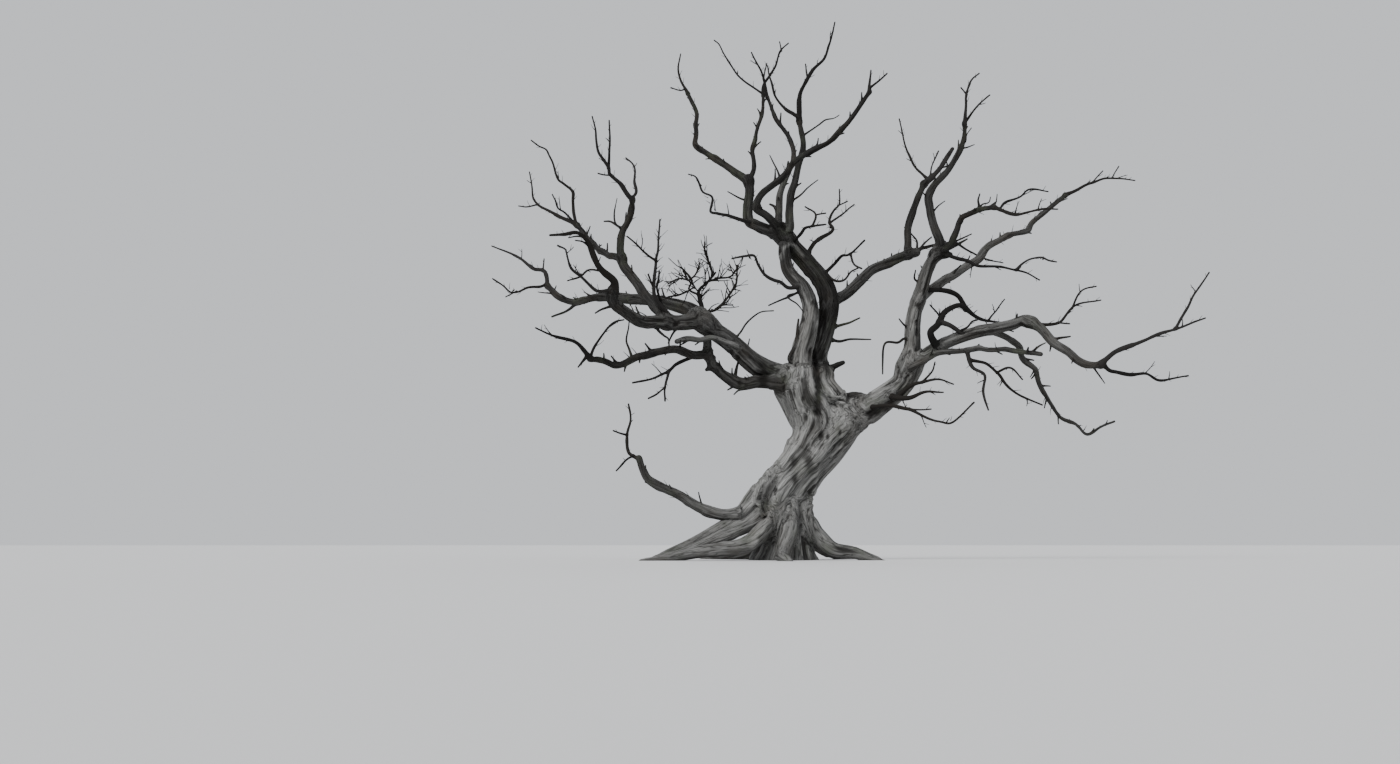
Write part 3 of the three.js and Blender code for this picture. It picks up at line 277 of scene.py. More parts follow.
def trunk_row(height):
    """Each column of the table at any height: a cubic through its rows, with their neighbours' slopes."""
    last = len(TRUNK_RINGS) - 1
    above = np.clip(np.searchsorted(TRUNK_RINGS[:, 0], height), 1, last)
    low, high = TRUNK_RINGS[above - 1], TRUNK_RINGS[above]
    before, after = TRUNK_RINGS[np.maximum(0, above - 2)], TRUNK_RINGS[np.minimum(last, above + 1)]
    run = (high - low)[..., :1]
    share = (np.asarray(height)[..., None] - low[..., :1]) / run
    slope_low = run * (high - before) / (high - before)[..., :1]
    slope_high = run * (after - low) / (after - low)[..., :1]
    bend = (2 * low - 2 * high + slope_low + slope_high) * share**3
    swell = (3 * high - 3 * low - 2 * slope_low - slope_high) * share**2
    row = bend + swell + slope_low * share + low
    return row[..., 1], row[..., 2], row[..., 3]


def trunk_relief(angle, height):
    """1 plus the flutes, which are sines round the trunk that turn with height, less the groove between
    the stems."""
    turned = angle - TRUNK_TWIST * height
    flutes = sum(depth * np.sin(count * turned + phase) for count, depth, phase in FLUTES)
    off = np.angle(np.exp(1j * (angle - GROOVE["angle"])))
    reach = smoothstep(height, GROOVE["from"], GROOVE["deep_at"])
    return 1 + flutes - GROOVE["depth"] * reach * np.exp(-((off / GROOVE["width"]) ** 2))


at_one_metre = [round(float(value)) for value in trunk_row(np.array(1000.0))]
print("trunk at 1 m: middle, half width and half depth", at_one_metre)

# %% [markdown]
# ## The boughs' and twigs' routes
#
# Each bough is one row: what carries it, its girth at foot and tip, and the points it runs through, as
# they were read from the picture. Broken side spurs are written as steps from the bough. The twig masses
# have leaders, which are listed one by one because they make the crown's outline.

# %% The roots that lie on the ground
ROOTS = [
    dict(name="long_left_root", girth=(270, 90), route=[
        (-60, -60, 960), (-300, -120, 780), (-540, -200, 540), (-880, -300, 330), (-1120, -350, 170),
        (-1420, -380, 30), (-1640, -360, -60),
    ]),
    dict(name="middle_left_root", girth=(230, 80), route=[
        (-90, -110, 800), (-210, -190, 640), (-389, -270, 449), (-592, -350, 319), (-866, -420, 200),
        (-1128, -450, 118), (-1425, -460, 30), (-1600, -450, -40),
    ]),
    dict(name="low_left_root", girth=(240, 80), route=[
        (-60, -180, 560), (-250, -330, 380), (-520, -480, 170), (-900, -620, 80), (-1250, -650, 40),
        (-1700, -760, -30),
    ]),
    dict(name="front_root", girth=(230, 80), route=[
        (60, -180, 620), (60, -370, 300), (-20, -600, 110), (-60, -900, 50), (60, -1200, -40),
    ]),
    dict(name="right_root", girth=(250, 80), route=[
        (180, -60, 660), (350, -120, 360), (560, -200, 140), (850, -220, 70), (1180, -330, -40),
    ]),
    dict(name="back_right_root", girth=(240, 80), route=[
        (120, 150, 620), (280, 360, 320), (470, 620, 110), (620, 900, 50), (900, 1120, -40),
    ]),
    dict(name="back_left_root", girth=(240, 80), route=[
        (-120, 150, 620), (-260, 380, 320), (-430, 660, 110), (-760, 880, 50), (-1050, 950, -40),
    ]),
]
print("roots:", len(ROOTS))

# %% The boughs, in the order in which they are made
# A spur is the share along its bough, its girth, and its steps out from there; TIP is the bough's end
TIP = 1
BOUGHS = [
    dict(name="left_bough", on="trunk", girth=(275, 195), route=[
        (230, 0, 2120), (-92, -60, 2244), (-272, -120, 2323), (-459, -190, 2429), (-646, -265, 2583),
        (-827, -330, 2720), (-973, -385, 2849), (-1045, -410, 2935),
    ], spurs=[
        (0.65, 30, [(60, -20, 85), (110, -30, 150), (160, -50, 230), (270, -70, 330), (350, -80, 375),
         (490, -90, 385)]),
        (0.52, 26, [(35, 20, 80), (62, 30, 190)]),
    ]),
    dict(name="lower_left_bough", on="trunk", girth=(195, 98), route=[
        (230, -60, 2060), (-105, -130, 2117), (-322, -175, 2123), (-466, -205, 2104), (-587, -230, 2135),
        (-683, -250, 2189), (-780, -270, 2256), (-858, -295, 2335), (-900, -320, 2433),
        (-912, -345, 2531), (-918, -360, 2616),
    ], spurs=[
        (0.78, 90, [(-110, -20, -35)]),
        (0.585, 50, [(15, 20, 120), (50, 40, 240)]),
        (0.56, 36, [(-48, -30, -62), (-114, -50, -104)]),
        (0.48, 34, [(-20, -60, -60), (-96, -70, -84), (-144, -75, -132)]),
    ]),
    dict(name="right_bough", on="trunk", girth=(385, 235), route=[
        (470, 0, 1540), (780, -30, 1690), (1000, -60, 1800), (1245, -90, 1965), (1430, -115, 2110),
        (1514, -125, 2232), (1550, -130, 2390),
    ], spurs=[
        (0.43, 175, [(-110, -30, 110), (-275, -45, 140)]),
    ]),
    dict(name="centre_stem", on="trunk", girth=(304, 185), route=[
        (400, 60, 1950), (400, 80, 2214), (393, 90, 2396), (425, 105, 2518), (475, 118, 2641),
        (524, 124, 2824), (560, 125, 3070), (511, 115, 3243), (418, 105, 3373), (314, 100, 3494),
        (225, 95, 3618), (135, 80, 3744), (57, 60, 3850), (0, 45, 3940), (-22, 30, 4010),
    ], spurs=[
        (0.115, 112, [(110, -20, 10), (190, -45, 85), (250, -55, 125), (325, -60, 150)]),
        (0.375, 44, [(120, -30, 20), (230, -50, 55), (330, -65, 80), (430, -80, 125)]),
        (0.31, 38, [(130, -40, 5), (230, -70, -15), (345, -90, 5), (590, -120, 0)]),
        (0.77, 34, [(50, 20, 80), (62, 30, 170)]),
    ]),
    dict(name="pale_stem", on="trunk", girth=(275, 122), route=[
        (240, -90, 2000), (215, -80, 2350), (245, -95, 2550), (330, -110, 2780), (355, -90, 3000),
        (252, -70, 3250), (102, -60, 3410), (38, -50, 3525), (24, -40, 3675), (20, -30, 3800),
    ], spurs=[
        (0.18, 52, [(-150, -70, 40), (-85, -110, 225), (-55, -130, 410), (-45, -140, 520)]),
        (0.68, 36, [(-150, -60, -90), (-240, -90, -130), (-430, -120, -220)]),
        (0.66, 30, [(-225, -80, -70), (-190, -100, -115), (-105, -120, -175), (-35, -130, -270)]),
    ]),
    dict(name="pale_stub", on="left_bough", at=0.58, girth=(66, 58), route=[
        (-586, -350, 2580), (-706, -400, 2622), (-827, -440, 2653), (-924, -470, 2665),
        (-1009, -500, 2649), (-1106, -530, 2653), (-1203, -560, 2650), (-1287, -590, 2622),
    ]),
    dict(name="left_arm", on="left_bough", at=0.96, girth=(190, 100), route=[
        (-1230, -560, 2850), (-1520, -720, 2880), (-1750, -860, 2890), (-1920, -960, 2960),
        (-2080, -1060, 3110), (-2080, -1130, 3250),
    ], spurs=[
        (0.93, 80, [(-90, -30, 60)]),
        (0.88, 38, [(-55, -10, -30), (-150, -20, -70), (-225, -30, -115)]),
        (0.44, 32, [(0, -20, -80), (73, -30, -157), (123, -40, -196), (134, -50, -302)]),
        (0.2, 36, [(-56, -60, -62), (-100, -80, -118), (-134, -90, -180), (-168, -100, -258)]),
    ]),
    dict(name="left_beam", on="left_bough", at=0.9, girth=(180, 68), route=[
        (-1130, -200, 3020), (-1400, 0, 3090), (-1840, 280, 3140), (-2200, 500, 3180), (-2500, 660, 3090),
        (-2680, 760, 3150), (-2870, 880, 3310),
    ], spurs=[
        (0.79, 48, [(-130, 20, -110), (-330, 40, -190)]),
        (0.93, 28, [(-120, 0, 10), (-230, 0, 25)]),
    ]),
    dict(name="left_mast", on="left_arm", at=0.345, girth=(125, 66), route=[
        (-1482, -640, 2972), (-1580, -590, 3095), (-1677, -540, 3187), (-1763, -490, 3305),
        (-1861, -450, 3441), (-1941, -430, 3558), (-1966, -410, 3695), (-1967, -410, 3832),
        (-1956, -430, 3975), (-1908, -470, 4087), (-1866, -520, 4200), (-1842, -580, 4312),
        (-1839, -640, 4394),
    ], spurs=[
        (0.76, 38, [(-80, 30, 60), (-170, 55, 125), (-235, 65, 125)]),
        (0.77, 26, [(-90, -30, 50), (-115, -60, 160), (-80, -90, 345)]),
    ]),
    dict(name="left_wing", on="left_mast", at=0.57, girth=(80, 58), route=[
        (-2082, -290, 3680), (-2152, -170, 3697), (-2221, -40, 3739), (-2291, 100, 3800),
        (-2360, 240, 3879), (-2429, 370, 3964), (-2513, 500, 4062),
    ], spurs=[
        (0.75, 34, [(-110, -30, 10), (-230, -40, -10)]),
    ]),
    dict(name="lower_left_arm", on="lower_left_bough", at=0.9, girth=(105, 58), route=[
        (-1070, -440, 2460), (-1250, -560, 2510), (-1500, -740, 2510), (-1720, -900, 2440),
        (-2010, -1100, 2330), (-2130, -1180, 2370), (-2340, -1320, 2410),
    ], spurs=[
        (0.655, 28, [(-39, -20, 110), (-69, -30, 196), (-44, -45, 343), (-39, -60, 428)]),
    ]),
    dict(name="low_snag", on="trunk", girth=(140, 74), route=[
        (-520, -190, 545), (-760, -190, 530), (-970, -150, 610), (-1260, -100, 790), (-1460, -80, 850),
        (-1620, -60, 930), (-1690, -40, 1080), (-1740, -20, 1210),
    ]),
    dict(name="crown_left", on="centre_stem", at=0.93, girth=(150, 98), route=[
        (-150, 50, 3980), (-330, 90, 4060), (-430, 120, 4130), (-430, 150, 4290), (-400, 170, 4460),
        (-420, 190, 4640),
    ], spurs=[
        (0.74, 30, [(-110, -40, 30), (-260, -80, 100)]),
    ]),
    dict(name="inner_bough", on="centre_stem", at=0.97, girth=(88, 42), route=[
        (-31, 110, 4037), (-45, 130, 4178), (-40, 145, 4357), (-19, 150, 4458), (22, 150, 4599),
        (72, 150, 4738), (135, 145, 4860), (152, 140, 5001), (106, 130, 5121), (22, 120, 5253),
        (-60, 110, 5386), (-124, 95, 5547), (-178, 80, 5680),
    ], spurs=[
        (0.16, 48, [(-60, 20, 120), (-110, 30, 150)]),
    ]),
    dict(name="mast_bough", on="centre_stem", at=0.97, girth=(96, 56), route=[
        (85, 0, 4012), (96, -40, 4138), (98, -70, 4299), (118, -95, 4498), (154, -115, 4639),
        (199, -135, 4779), (241, -155, 4920), (260, -175, 5062), (244, -190, 5223), (213, -200, 5386),
    ], spurs=[
        (0.86, 28, [(92, 40, 77), (207, 80, 172), (283, 100, 230), (398, 140, 268), (465, 160, 316)]),
        (0.3, 26, [(110, -60, 60), (200, -90, 150), (330, -110, 245)]),
    ]),
    dict(name="crossing_bough", on="centre_stem", at=0.95, girth=(90, 48), route=[
        (-160, -80, 4150), (-305, -70, 4260), (-318, -100, 4335), (-243, -170, 4445), (9, -370, 4680),
        (161, -490, 4850), (388, -620, 5015), (590, -730, 5110), (743, -810, 5270), (922, -890, 5495),
        (1095, -940, 5750),
    ], spurs=[
        (0.415, 28, [(-38, -30, 86), (-77, -40, 163), (-128, -50, 268)]),
        (0.47, 44, [(0, -20, 105)]),
    ]),
    dict(name="left_horn", on="crown_left", at=0.97, girth=(95, 48), route=[
        (-650, 340, 4780), (-940, 500, 4970), (-1060, 580, 5080), (-1060, 680, 5270), (-1050, 770, 5460),
        (-1160, 890, 5730),
    ]),
    dict(name="left_spire", on="crown_left", at=0.95, girth=(70, 40), route=[
        (-352, 270, 4759), (-354, 310, 4916), (-359, 340, 5056), (-322, 370, 5182), (-271, 410, 5365),
        (-234, 440, 5527), (-226, 480, 5711),
    ]),
    dict(name="centre_right_bough", on="centre_stem", at=0.51, girth=(140, 112), route=[
        (668, 235, 3156), (803, 290, 3249), (1039, 390, 3447), (1135, 430, 3517), (1238, 470, 3581),
        (1403, 520, 3656), (1544, 560, 3698), (1626, 590, 3720),
    ]),
    dict(name="centre_right_rise", on="centre_right_bough", at=0.92, girth=(92, 74), route=[
        (1527, 600, 3800), (1532, 615, 3900), (1547, 640, 4068), (1589, 670, 4236), (1662, 700, 4404),
        (1731, 725, 4545), (1747, 740, 4589),
    ]),
    dict(name="right_upright", on="right_bough", at=TIP, girth=(205, 122), route=[
        (1572, -130, 2568), (1585, -130, 2800), (1600, -130, 3050), (1654, -130, 3243),
        (1767, -130, 3520), (1950, -120, 3800),
    ], spurs=[
        (0.2, 36, [(-110, -60, 10), (-190, -90, -40), (-340, -120, -55), (-380, -140, -300),
         (-385, -150, -425)]),
        (0.27, 34, [(-110, -50, 60), (-170, -60, 140)]),
        (0.66, 34, [(-110, -30, 50), (-95, -40, 150)]),
        (0.93, 130, [(150, -10, -20)]),
    ]),
    dict(name="right_rise", on="right_upright", at=TIP, girth=(108, 48), route=[
        (1910, -190, 3894), (1832, -240, 4092), (1800, -290, 4260), (1799, -350, 4428),
        (1865, -400, 4571), (2010, -460, 4716), (2118, -520, 4861), (2204, -590, 5018),
        (2247, -660, 5176), (2259, -740, 5346),
    ], spurs=[
        (0.81, 28, [(100, 30, 25), (179, 50, 62)]),
        (0.83, 26, [(45, -20, 40), (60, -30, 120), (115, -50, 200)]),
        (0.27, 24, [(70, -30, 80), (160, -50, 150)]),
    ]),
    dict(name="right_curl", on="right_upright", at=0.94, girth=(76, 50), route=[
        (2042, -200, 3800), (2085, -230, 3901), (2123, -265, 3996), (2166, -310, 4092),
        (2222, -350, 4168), (2290, -400, 4210), (2374, -460, 4242), (2469, -540, 4265), (2604, -680, 4281),
    ], spurs=[
        (0.66, 38, [(57, -30, 57), (46, -40, 138), (64, -50, 206)]),
        (0.7, 26, [(60, -50, 70), (130, -70, 90), (150, -80, 150)]),
        (0.96, 26, [(45, 30, 60), (65, 40, 170)]),
        (0.1, 40, [(120, -20, 20), (260, -40, 90)]),
    ]),
    dict(name="upper_right_arm", on="right_upright", at=0.5, girth=(115, 55), route=[
        (1850, 60, 3305), (2190, 320, 3510), (2365, 420, 3635), (2480, 500, 3757), (2620, 600, 3865),
        (2768, 700, 3930), (2992, 860, 3995), (3060, 920, 4090), (3222, 1020, 4233), (3472, 1180, 4435),
    ]),
    dict(name="far_right_bough", on="right_bough", at=0.9, girth=(165, 115), route=[
        (1700, -170, 2450), (1895, -200, 2555), (2323, -245, 2720), (2751, -295, 2840),
        (2901, -320, 2882), (3007, -340, 2864),
    ]),
    dict(name="far_right_arm", on="far_right_bough", at=0.98, girth=(112, 70), route=[
        (3132, -380, 2770), (3262, -430, 2620), (3421, -490, 2510), (3555, -540, 2390),
        (3691, -600, 2335), (3850, -660, 2335),
    ], spurs=[
        (0.34, 38, [(100, -20, 20), (210, -30, 40)]),
        (0.88, 28, [(60, 10, -90), (150, 20, -220)]),
    ]),
    dict(name="drooping_arm", on="far_right_bough", at=0.68, girth=(80, 28), route=[
        (2740, -160, 2650), (2840, -80, 2560), (2900, 0, 2410), (3040, 120, 2270), (3110, 220, 2060),
        (3320, 400, 1700), (3490, 480, 1630), (3640, 550, 1490), (3790, 600, 1580), (3970, 660, 1650),
    ], spurs=[
        (0.48, 22, [(60, 20, -100)]),
        (0.36, 22, [(-50, 10, -80)]),
    ]),
    dict(name="second_beam", on="right_bough", at=0.86, girth=(78, 42), route=[
        (1640, -330, 2365), (1893, -440, 2480), (2318, -690, 2525), (2530, -820, 2527),
        (2785, -970, 2508), (3112, -1150, 2466),
    ], spurs=[
        (0.94, 28, [(70, -20, 70), (150, -30, 110)]),
    ]),
]
print("boughs:", len(BOUGHS), "with", sum(len(row.get("spurs", [])) for row in BOUGHS), "spurs")

# %% The twig masses and their leaders
# A leader is the number of the leader that carries it, none for the bough, the share along that one, its
# girth, its route, and its tip's girth where that is given
MASSES = [
    dict(name="left_arm_twigs", on="left_arm", leaders=[
        (None, TIP, 84, [(-2050, -1160, 3340), (-2230, -1310, 3530), (-2290, -1380, 3660),
         (-2370, -1440, 3830), (-2500, -1520, 3970), (-2660, -1620, 3945), (-2840, -1720, 3935)], 26),
        (0, 0.03, 42, [(-2249, -1200, 3243), (-2320, -1230, 3292), (-2423, -1270, 3379),
         (-2483, -1330, 3441), (-2578, -1400, 3536), (-2631, -1480, 3675), (-2658, -1560, 3762),
         (-2744, -1620, 3805)]),
        (0, 0.25, 28, [(-2370, -1260, 3500), (-2470, -1280, 3420), (-2620, -1300, 3370)]),
        (0, 0.5, 24, [(-2450, -1480, 3860), (-2530, -1500, 3870)]),
    ]),
    dict(name="left_beam_twigs", on="left_beam", leaders=[
        (None, TIP, 60, [(-2900, 930, 3480), (-3060, 1000, 3530), (-3200, 1100, 3650),
         (-3550, 1300, 3800)]),
        (0, 0.2, 26, [(-2910, 960, 3640)]),
        (0, 0.04, 40, [(-2934, 860, 3301), (-3104, 820, 3288), (-3223, 760, 3230), (-3316, 720, 3227),
         (-3403, 690, 3309), (-3533, 640, 3396)]),
        (2, 0.54, 20, [(-3370, 700, 3170)]),
    ]),
    dict(name="left_mast_twigs", on="left_mast", leaders=[
        (None, TIP, 60, [(-1883, -700, 4430), (-1935, -730, 4501), (-1987, -770, 4579),
         (-2056, -810, 4640), (-2117, -850, 4702), (-2135, -890, 4781), (-2187, -930, 4870),
         (-2248, -970, 4958), (-2275, -1020, 5064), (-2293, -1060, 5172), (-2300, -1120, 5270),
         (-2340, -1180, 5430)], 16),
        (0, 0.45, 34, [(-2120, -880, 5020), (-2130, -840, 5380)]),
        (0, 0.02, 40, [(-1794, -660, 4463), (-1809, -620, 4605), (-1808, -580, 4765), (-1845, -550, 4834),
         (-1921, -520, 4905)]),
        (0, 0.36, 24, [(-2180, -900, 4690), (-2260, -930, 4710)]),
    ]),
    dict(name="left_sprout_twigs", on="left_arm", leaders=[
        (None, 0.27, 48, [(-1560, -760, 3200), (-1540, -840, 3620), (-1520, -880, 3800),
         (-1500, -920, 4130)]),
        (0, 0.64, 26, [(-1655, -890, 3689), (-1707, -920, 3741), (-1767, -970, 3809),
         (-1897, -1040, 3919)]),
        (0, 0.2, 26, [(-1534, -740, 3305), (-1515, -720, 3391), (-1505, -700, 3486)]),
        (0, 0.36, 20, [(-1640, -860, 3450)]),
    ]),
    dict(name="left_wing_twigs", on="left_wing", leaders=[
        (None, TIP, 58, [(-2587, 560, 4103), (-2688, 640, 4152), (-2843, 740, 4226), (-2983, 830, 4314),
         (-3047, 880, 4375), (-3068, 940, 4534), (-3105, 1000, 4728)], 16),
        (0, 0.02, 46, [(-2558, 520, 4237), (-2565, 510, 4357), (-2563, 500, 4480), (-2676, 480, 4570),
         (-2745, 460, 4623), (-2817, 430, 4852), (-2870, 410, 4940), (-2906, 390, 5009),
         (-2993, 360, 5056), (-3089, 330, 5128)]),
        (0, 0.03, 32, [(-2672, 570, 4226), (-2749, 560, 4270), (-2785, 550, 4375), (-2820, 540, 4445)]),
        (0, 0.59, 26, [(-3140, 800, 4290), (-3230, 780, 4300)]),
    ]),
    dict(name="lower_left_twigs", on="lower_left_arm", leaders=[
        (None, TIP, 54, [(-2420, -1380, 2520), (-2510, -1440, 2620), (-2790, -1590, 2690),
         (-3000, -1700, 2790)]),
        (0, 0.02, 34, [(-2300, -1340, 2526), (-2215, -1370, 2663), (-2093, -1410, 2826),
         (-2027, -1440, 2867), (-1932, -1460, 2888)]),
        (0, 0.08, 40, [(-2480, -1300, 2310)]),
    ]),
    dict(name="left_down_twigs", on="lower_left_arm", leaders=[
        (None, 0.1, 44, [(-1300, -420, 2340), (-1410, -400, 2250), (-1550, -380, 2180),
         (-1820, -330, 2120)]),
        (0, 0.45, 34, [(-1430, -360, 2050), (-1430, -320, 1900)]),
        (1, 0.55, 22, [(-1540, -420, 1980), (-1630, -460, 1930)]),
    ]),
    dict(name="tangle", on="left_bough", spacing=260, reach=240, leaders=[
        (None, TIP, 58, [(-990, -380, 3040), (-1020, -360, 3230), (-940, -330, 3330), (-820, -300, 3470)]),
        (0, 0.15, 32, [(-820, -340, 3010), (-620, -260, 3240), (-570, -230, 3340), (-555, -200, 3560)]),
        (0, 0.45, 28, [(-1140, -420, 3260), (-1110, -440, 3370), (-1240, -500, 3540)]),
        (2, 0.35, 20, [(-1250, -440, 3200), (-1400, -500, 3170)]),
        (2, 0.6, 18, [(-1250, -480, 3400), (-1400, -540, 3330)]),
        (2, 0.6, 18, [(-1060, -400, 3450), (-1010, -360, 3590)]),
        (0, 0.92, 22, [(-880, -360, 3560), (-950, -400, 3730), (-950, -420, 3850)]),
        (0, 0.75, 22, [(-780, -240, 3400), (-640, -180, 3420), (-540, -120, 3550)]),
    ]),
    dict(name="low_snag_twigs", on="low_snag", leaders=[
        (None, TIP, 46, [(-1860, 20, 1280), (-1890, 50, 1470), (-1840, 80, 1670), (-1870, 110, 1860)]),
        (0, 0.5, 26, [(-1950, 20, 1500), (-2050, 0, 1540)]),
        (0, 0.12, 28, [(-1900, -80, 1180), (-2010, -110, 1060)]),
    ]),
    dict(name="left_horn_twigs", on="left_horn", leaders=[
        (None, TIP, 42, [(-1230, 940, 5860), (-1280, 980, 6000), (-1250, 1020, 6230)]),
        (0, 0.15, 26, [(-1250, 860, 5760), (-1370, 840, 5800)]),
    ]),
    dict(name="left_spire_twigs", on="left_spire", leaders=[
        (None, TIP, 44, [(-223, 520, 5832), (-141, 550, 5955), (-81, 570, 6058), (-45, 590, 6181),
         (0, 610, 6283), (90, 630, 6370)]),
        (0, 0.02, 30, [(-339, 540, 5793), (-438, 560, 5863), (-537, 590, 5955), (-634, 620, 6099),
         (-713, 650, 6232), (-773, 700, 6355), (-832, 730, 6407)]),
        (0, 0.82, 20, [(-20, 600, 6390)]),
    ]),
    dict(name="crossing_twigs", on="crossing_bough", leaders=[
        (None, TIP, 40, [(1090, -960, 5860), (1110, -980, 6020)]),
        (0, 0.2, 30, [(1190, -980, 5870), (1310, -1020, 5980)]),
    ]),
    dict(name="inner_twigs", on="inner_bough", leaders=[
        (None, TIP, 40, [(-230, 40, 5960), (-300, 0, 6100), (-370, -40, 6250)]),
        (0, 0.4, 22, [(-180, 120, 6110)]),
    ]),
    dict(name="mast_twigs", on="mast_bough", leaders=[
        (None, TIP, 62, [(220, -220, 5600), (250, -230, 5780), (390, -250, 6010), (520, -260, 6160),
         (600, -260, 6350), (670, -260, 6640)]),
        (0, 0.03, 44, [(142, -240, 5466), (54, -280, 5517), (-25, -330, 5609), (-84, -380, 5711),
         (-122, -430, 5853), (-151, -470, 5955), (-170, -500, 6079)]),
        (0, 0.4, 22, [(300, -200, 6100)]),
    ]),
    dict(name="left_hook_twigs", on="crown_left", leaders=[
        (None, 0.42, 46, [(-520, -20, 4131), (-679, -150, 4187), (-795, -250, 4200), (-874, -310, 4231),
         (-862, -390, 4408), (-967, -450, 4468), (-1020, -520, 4589), (-1069, -580, 4669),
         (-1151, -640, 4699)]),
    ]),
    dict(name="crown_right_twigs", on="centre_stem", leaders=[
        (None, 0.9, 42, [(220, -120, 3950), (290, -240, 4030), (530, -420, 4070)]),
        (0, 0.72, 26, [(410, -300, 4190), (280, -260, 4290)]),
        (1, 0.45, 18, [(530, -340, 4210)]),
    ]),
    dict(name="mid_right_upper_twigs", on="centre_stem", leaders=[
        (None, 0.79, 58, [(350, 220, 3780), (440, 340, 3890), (620, 500, 4000), (570, 560, 4100),
         (640, 640, 4250), (700, 700, 4340), (700, 720, 4510)]),
        (0, 0.63, 28, [(770, 640, 4230), (880, 700, 4320)]),
        (0, 0.84, 20, [(800, 760, 4360)]),
    ]),
    dict(name="mid_right_twigs", on="centre_stem", leaders=[
        (None, 0.66, 44, [(620, 60, 3570), (730, -60, 3680), (820, -160, 3700), (1000, -280, 3870)]),
        (0, 0.7, 30, [(870, -180, 3570), (960, -220, 3520)]),
        (0, 0.12, 34, [(597, 40, 3391), (670, -40, 3366), (756, -110, 3391), (830, -160, 3478),
         (916, -200, 3527)]),
    ]),
    dict(name="mid_left_twigs", on="pale_stem", leaders=[
        (None, 0.7, 50, [(70, -180, 3285), (-20, -260, 3342), (-100, -320, 3375), (-235, -390, 3470),
         (-305, -430, 3560), (-344, -480, 3682), (-457, -540, 3676), (-619, -620, 3644)], 18),
    ]),
    dict(name="centre_right_twigs", on="centre_right_rise", leaders=[
        (None, TIP, 78, [(1900, 780, 4730), (1990, 800, 4840), (2100, 830, 5020)], 52),
        (0, 0.14, 38, [(1640, 820, 4790), (1540, 860, 5000), (1450, 930, 5400)]),
        (0, 0.5, 28, [(2110, 900, 4810)]),
        (0, 0.18, 26, [(1847, 800, 4813), (1926, 810, 4991)]),
    ]),
    dict(name="right_thin_twigs", on="centre_right_bough", leaders=[
        (None, TIP, 48, [(1694, 620, 3771), (1827, 650, 3805), (2037, 690, 3841), (2202, 710, 3901),
         (2308, 720, 3949)]),
        (0, 0.06, 32, [(1635, 640, 3863), (1572, 650, 3954)]),
        (0, 0.1, 32, [(1738, 600, 3846), (1819, 590, 3912)]),
        (0, 0.7, 34, [(2222, 690, 3771), (2314, 680, 3716), (2407, 660, 3662), (2546, 640, 3620),
         (2684, 620, 3592)]),
    ]),
    dict(name="right_trail_twigs", on="right_upright", leaders=[
        (None, 0.95, 44, [(2126, -180, 3646), (2254, -230, 3610), (2369, -280, 3561), (2521, -330, 3545),
         (2682, -370, 3537), (2834, -410, 3504), (2973, -450, 3462), (3121, -500, 3379)]),
        (0, 0.76, 30, [(2918, -430, 3579), (3001, -450, 3634), (3153, -480, 3657), (3233, -500, 3623),
         (3337, -520, 3603)]),
    ]),
    dict(name="right_rise_twigs", on="right_rise", leaders=[
        (None, TIP, 42, [(2272, -780, 5456), (2283, -800, 5590), (2278, -820, 5688), (2305, -840, 5785),
         (2366, -870, 5908), (2451, -890, 5981)]),
        (0, 0.53, 22, [(2222, -830, 5798)]),
        (0, 0.03, 30, [(2312, -740, 5419), (2381, -710, 5512), (2441, -690, 5590), (2575, -660, 5704)]),
    ]),
    dict(name="right_curl_twigs", on="right_curl", leaders=[
        (None, TIP, 46, [(2880, -870, 4190), (3150, -1010, 4260), (3370, -1110, 4260)]),
        (0, 0.1, 32, [(2740, -620, 4350), (2910, -600, 4410), (3030, -570, 4510), (3260, -520, 4480)]),
    ]),
    dict(name="upper_right_twigs", on="upper_right_arm", leaders=[
        (None, TIP, 50, [(3670, 1280, 4530), (3870, 1380, 4620), (4080, 1470, 4650), (4330, 1560, 4620)]),
        (0, 0.42, 22, [(3940, 1360, 4740)]),
        (0, 0.7, 20, [(4140, 1500, 4800)]),
    ]),
    dict(name="far_right_twigs", on="far_right_arm", leaders=[
        (None, TIP, 62, [(3980, -740, 2470), (4400, -950, 2650), (4820, -1150, 2800), (5120, -1280, 2910)]),
        (0, 0.02, 50, [(3924, -650, 2276), (4012, -630, 2245), (4162, -610, 2221), (4373, -590, 2231),
         (4519, -550, 2146), (4701, -520, 2176), (4882, -480, 2206)]),
        (0, 0.74, 34, [(4890, -1120, 3010), (5000, -1060, 3200), (5190, -1000, 3470)]),
    ]),
    dict(name="far_right_shoot_twigs", on="far_right_bough", leaders=[
        (None, TIP, 38, [(3180, -280, 2830), (3340, -240, 2850), (3540, -160, 3060), (3860, -60, 3130)]),
        (0, 0.6, 24, [(3630, -200, 3250), (3810, -240, 3300)]),
        (0, 0.35, 22, [(3470, -300, 2840)]),
    ]),
    dict(name="hanging_twigs", on="second_beam", leaders=[
        (None, 0.5, 44, [(2280, -640, 2300), (2430, -660, 2220), (2400, -700, 2000), (2460, -740, 1790)]),
        (0, 0.15, 36, [(2450, -600, 2350), (2580, -560, 2240), (2670, -540, 2110), (2840, -500, 1970),
         (3110, -460, 1850)]),
        (1, 0.35, 24, [(2740, -620, 2300), (2880, -660, 2160)]),
    ]),
    dict(name="arch_twigs", on="far_right_bough", leaders=[
        (None, 0.29, 92, [(1794, -300, 2677), (1789, -320, 2751), (1857, -310, 2818), (1914, -270, 2892),
         (1958, -220, 2972), (2026, -160, 3039), (2111, -90, 3064), (2196, -20, 3039), (2268, 50, 2990),
         (2351, 120, 2923), (2435, 200, 2880), (2531, 290, 2867), (2664, 400, 2855)]),
        (0, 0.58, 50, [(2173, -30, 3113), (2114, -50, 3193), (2030, -70, 3243), (1933, -90, 3255),
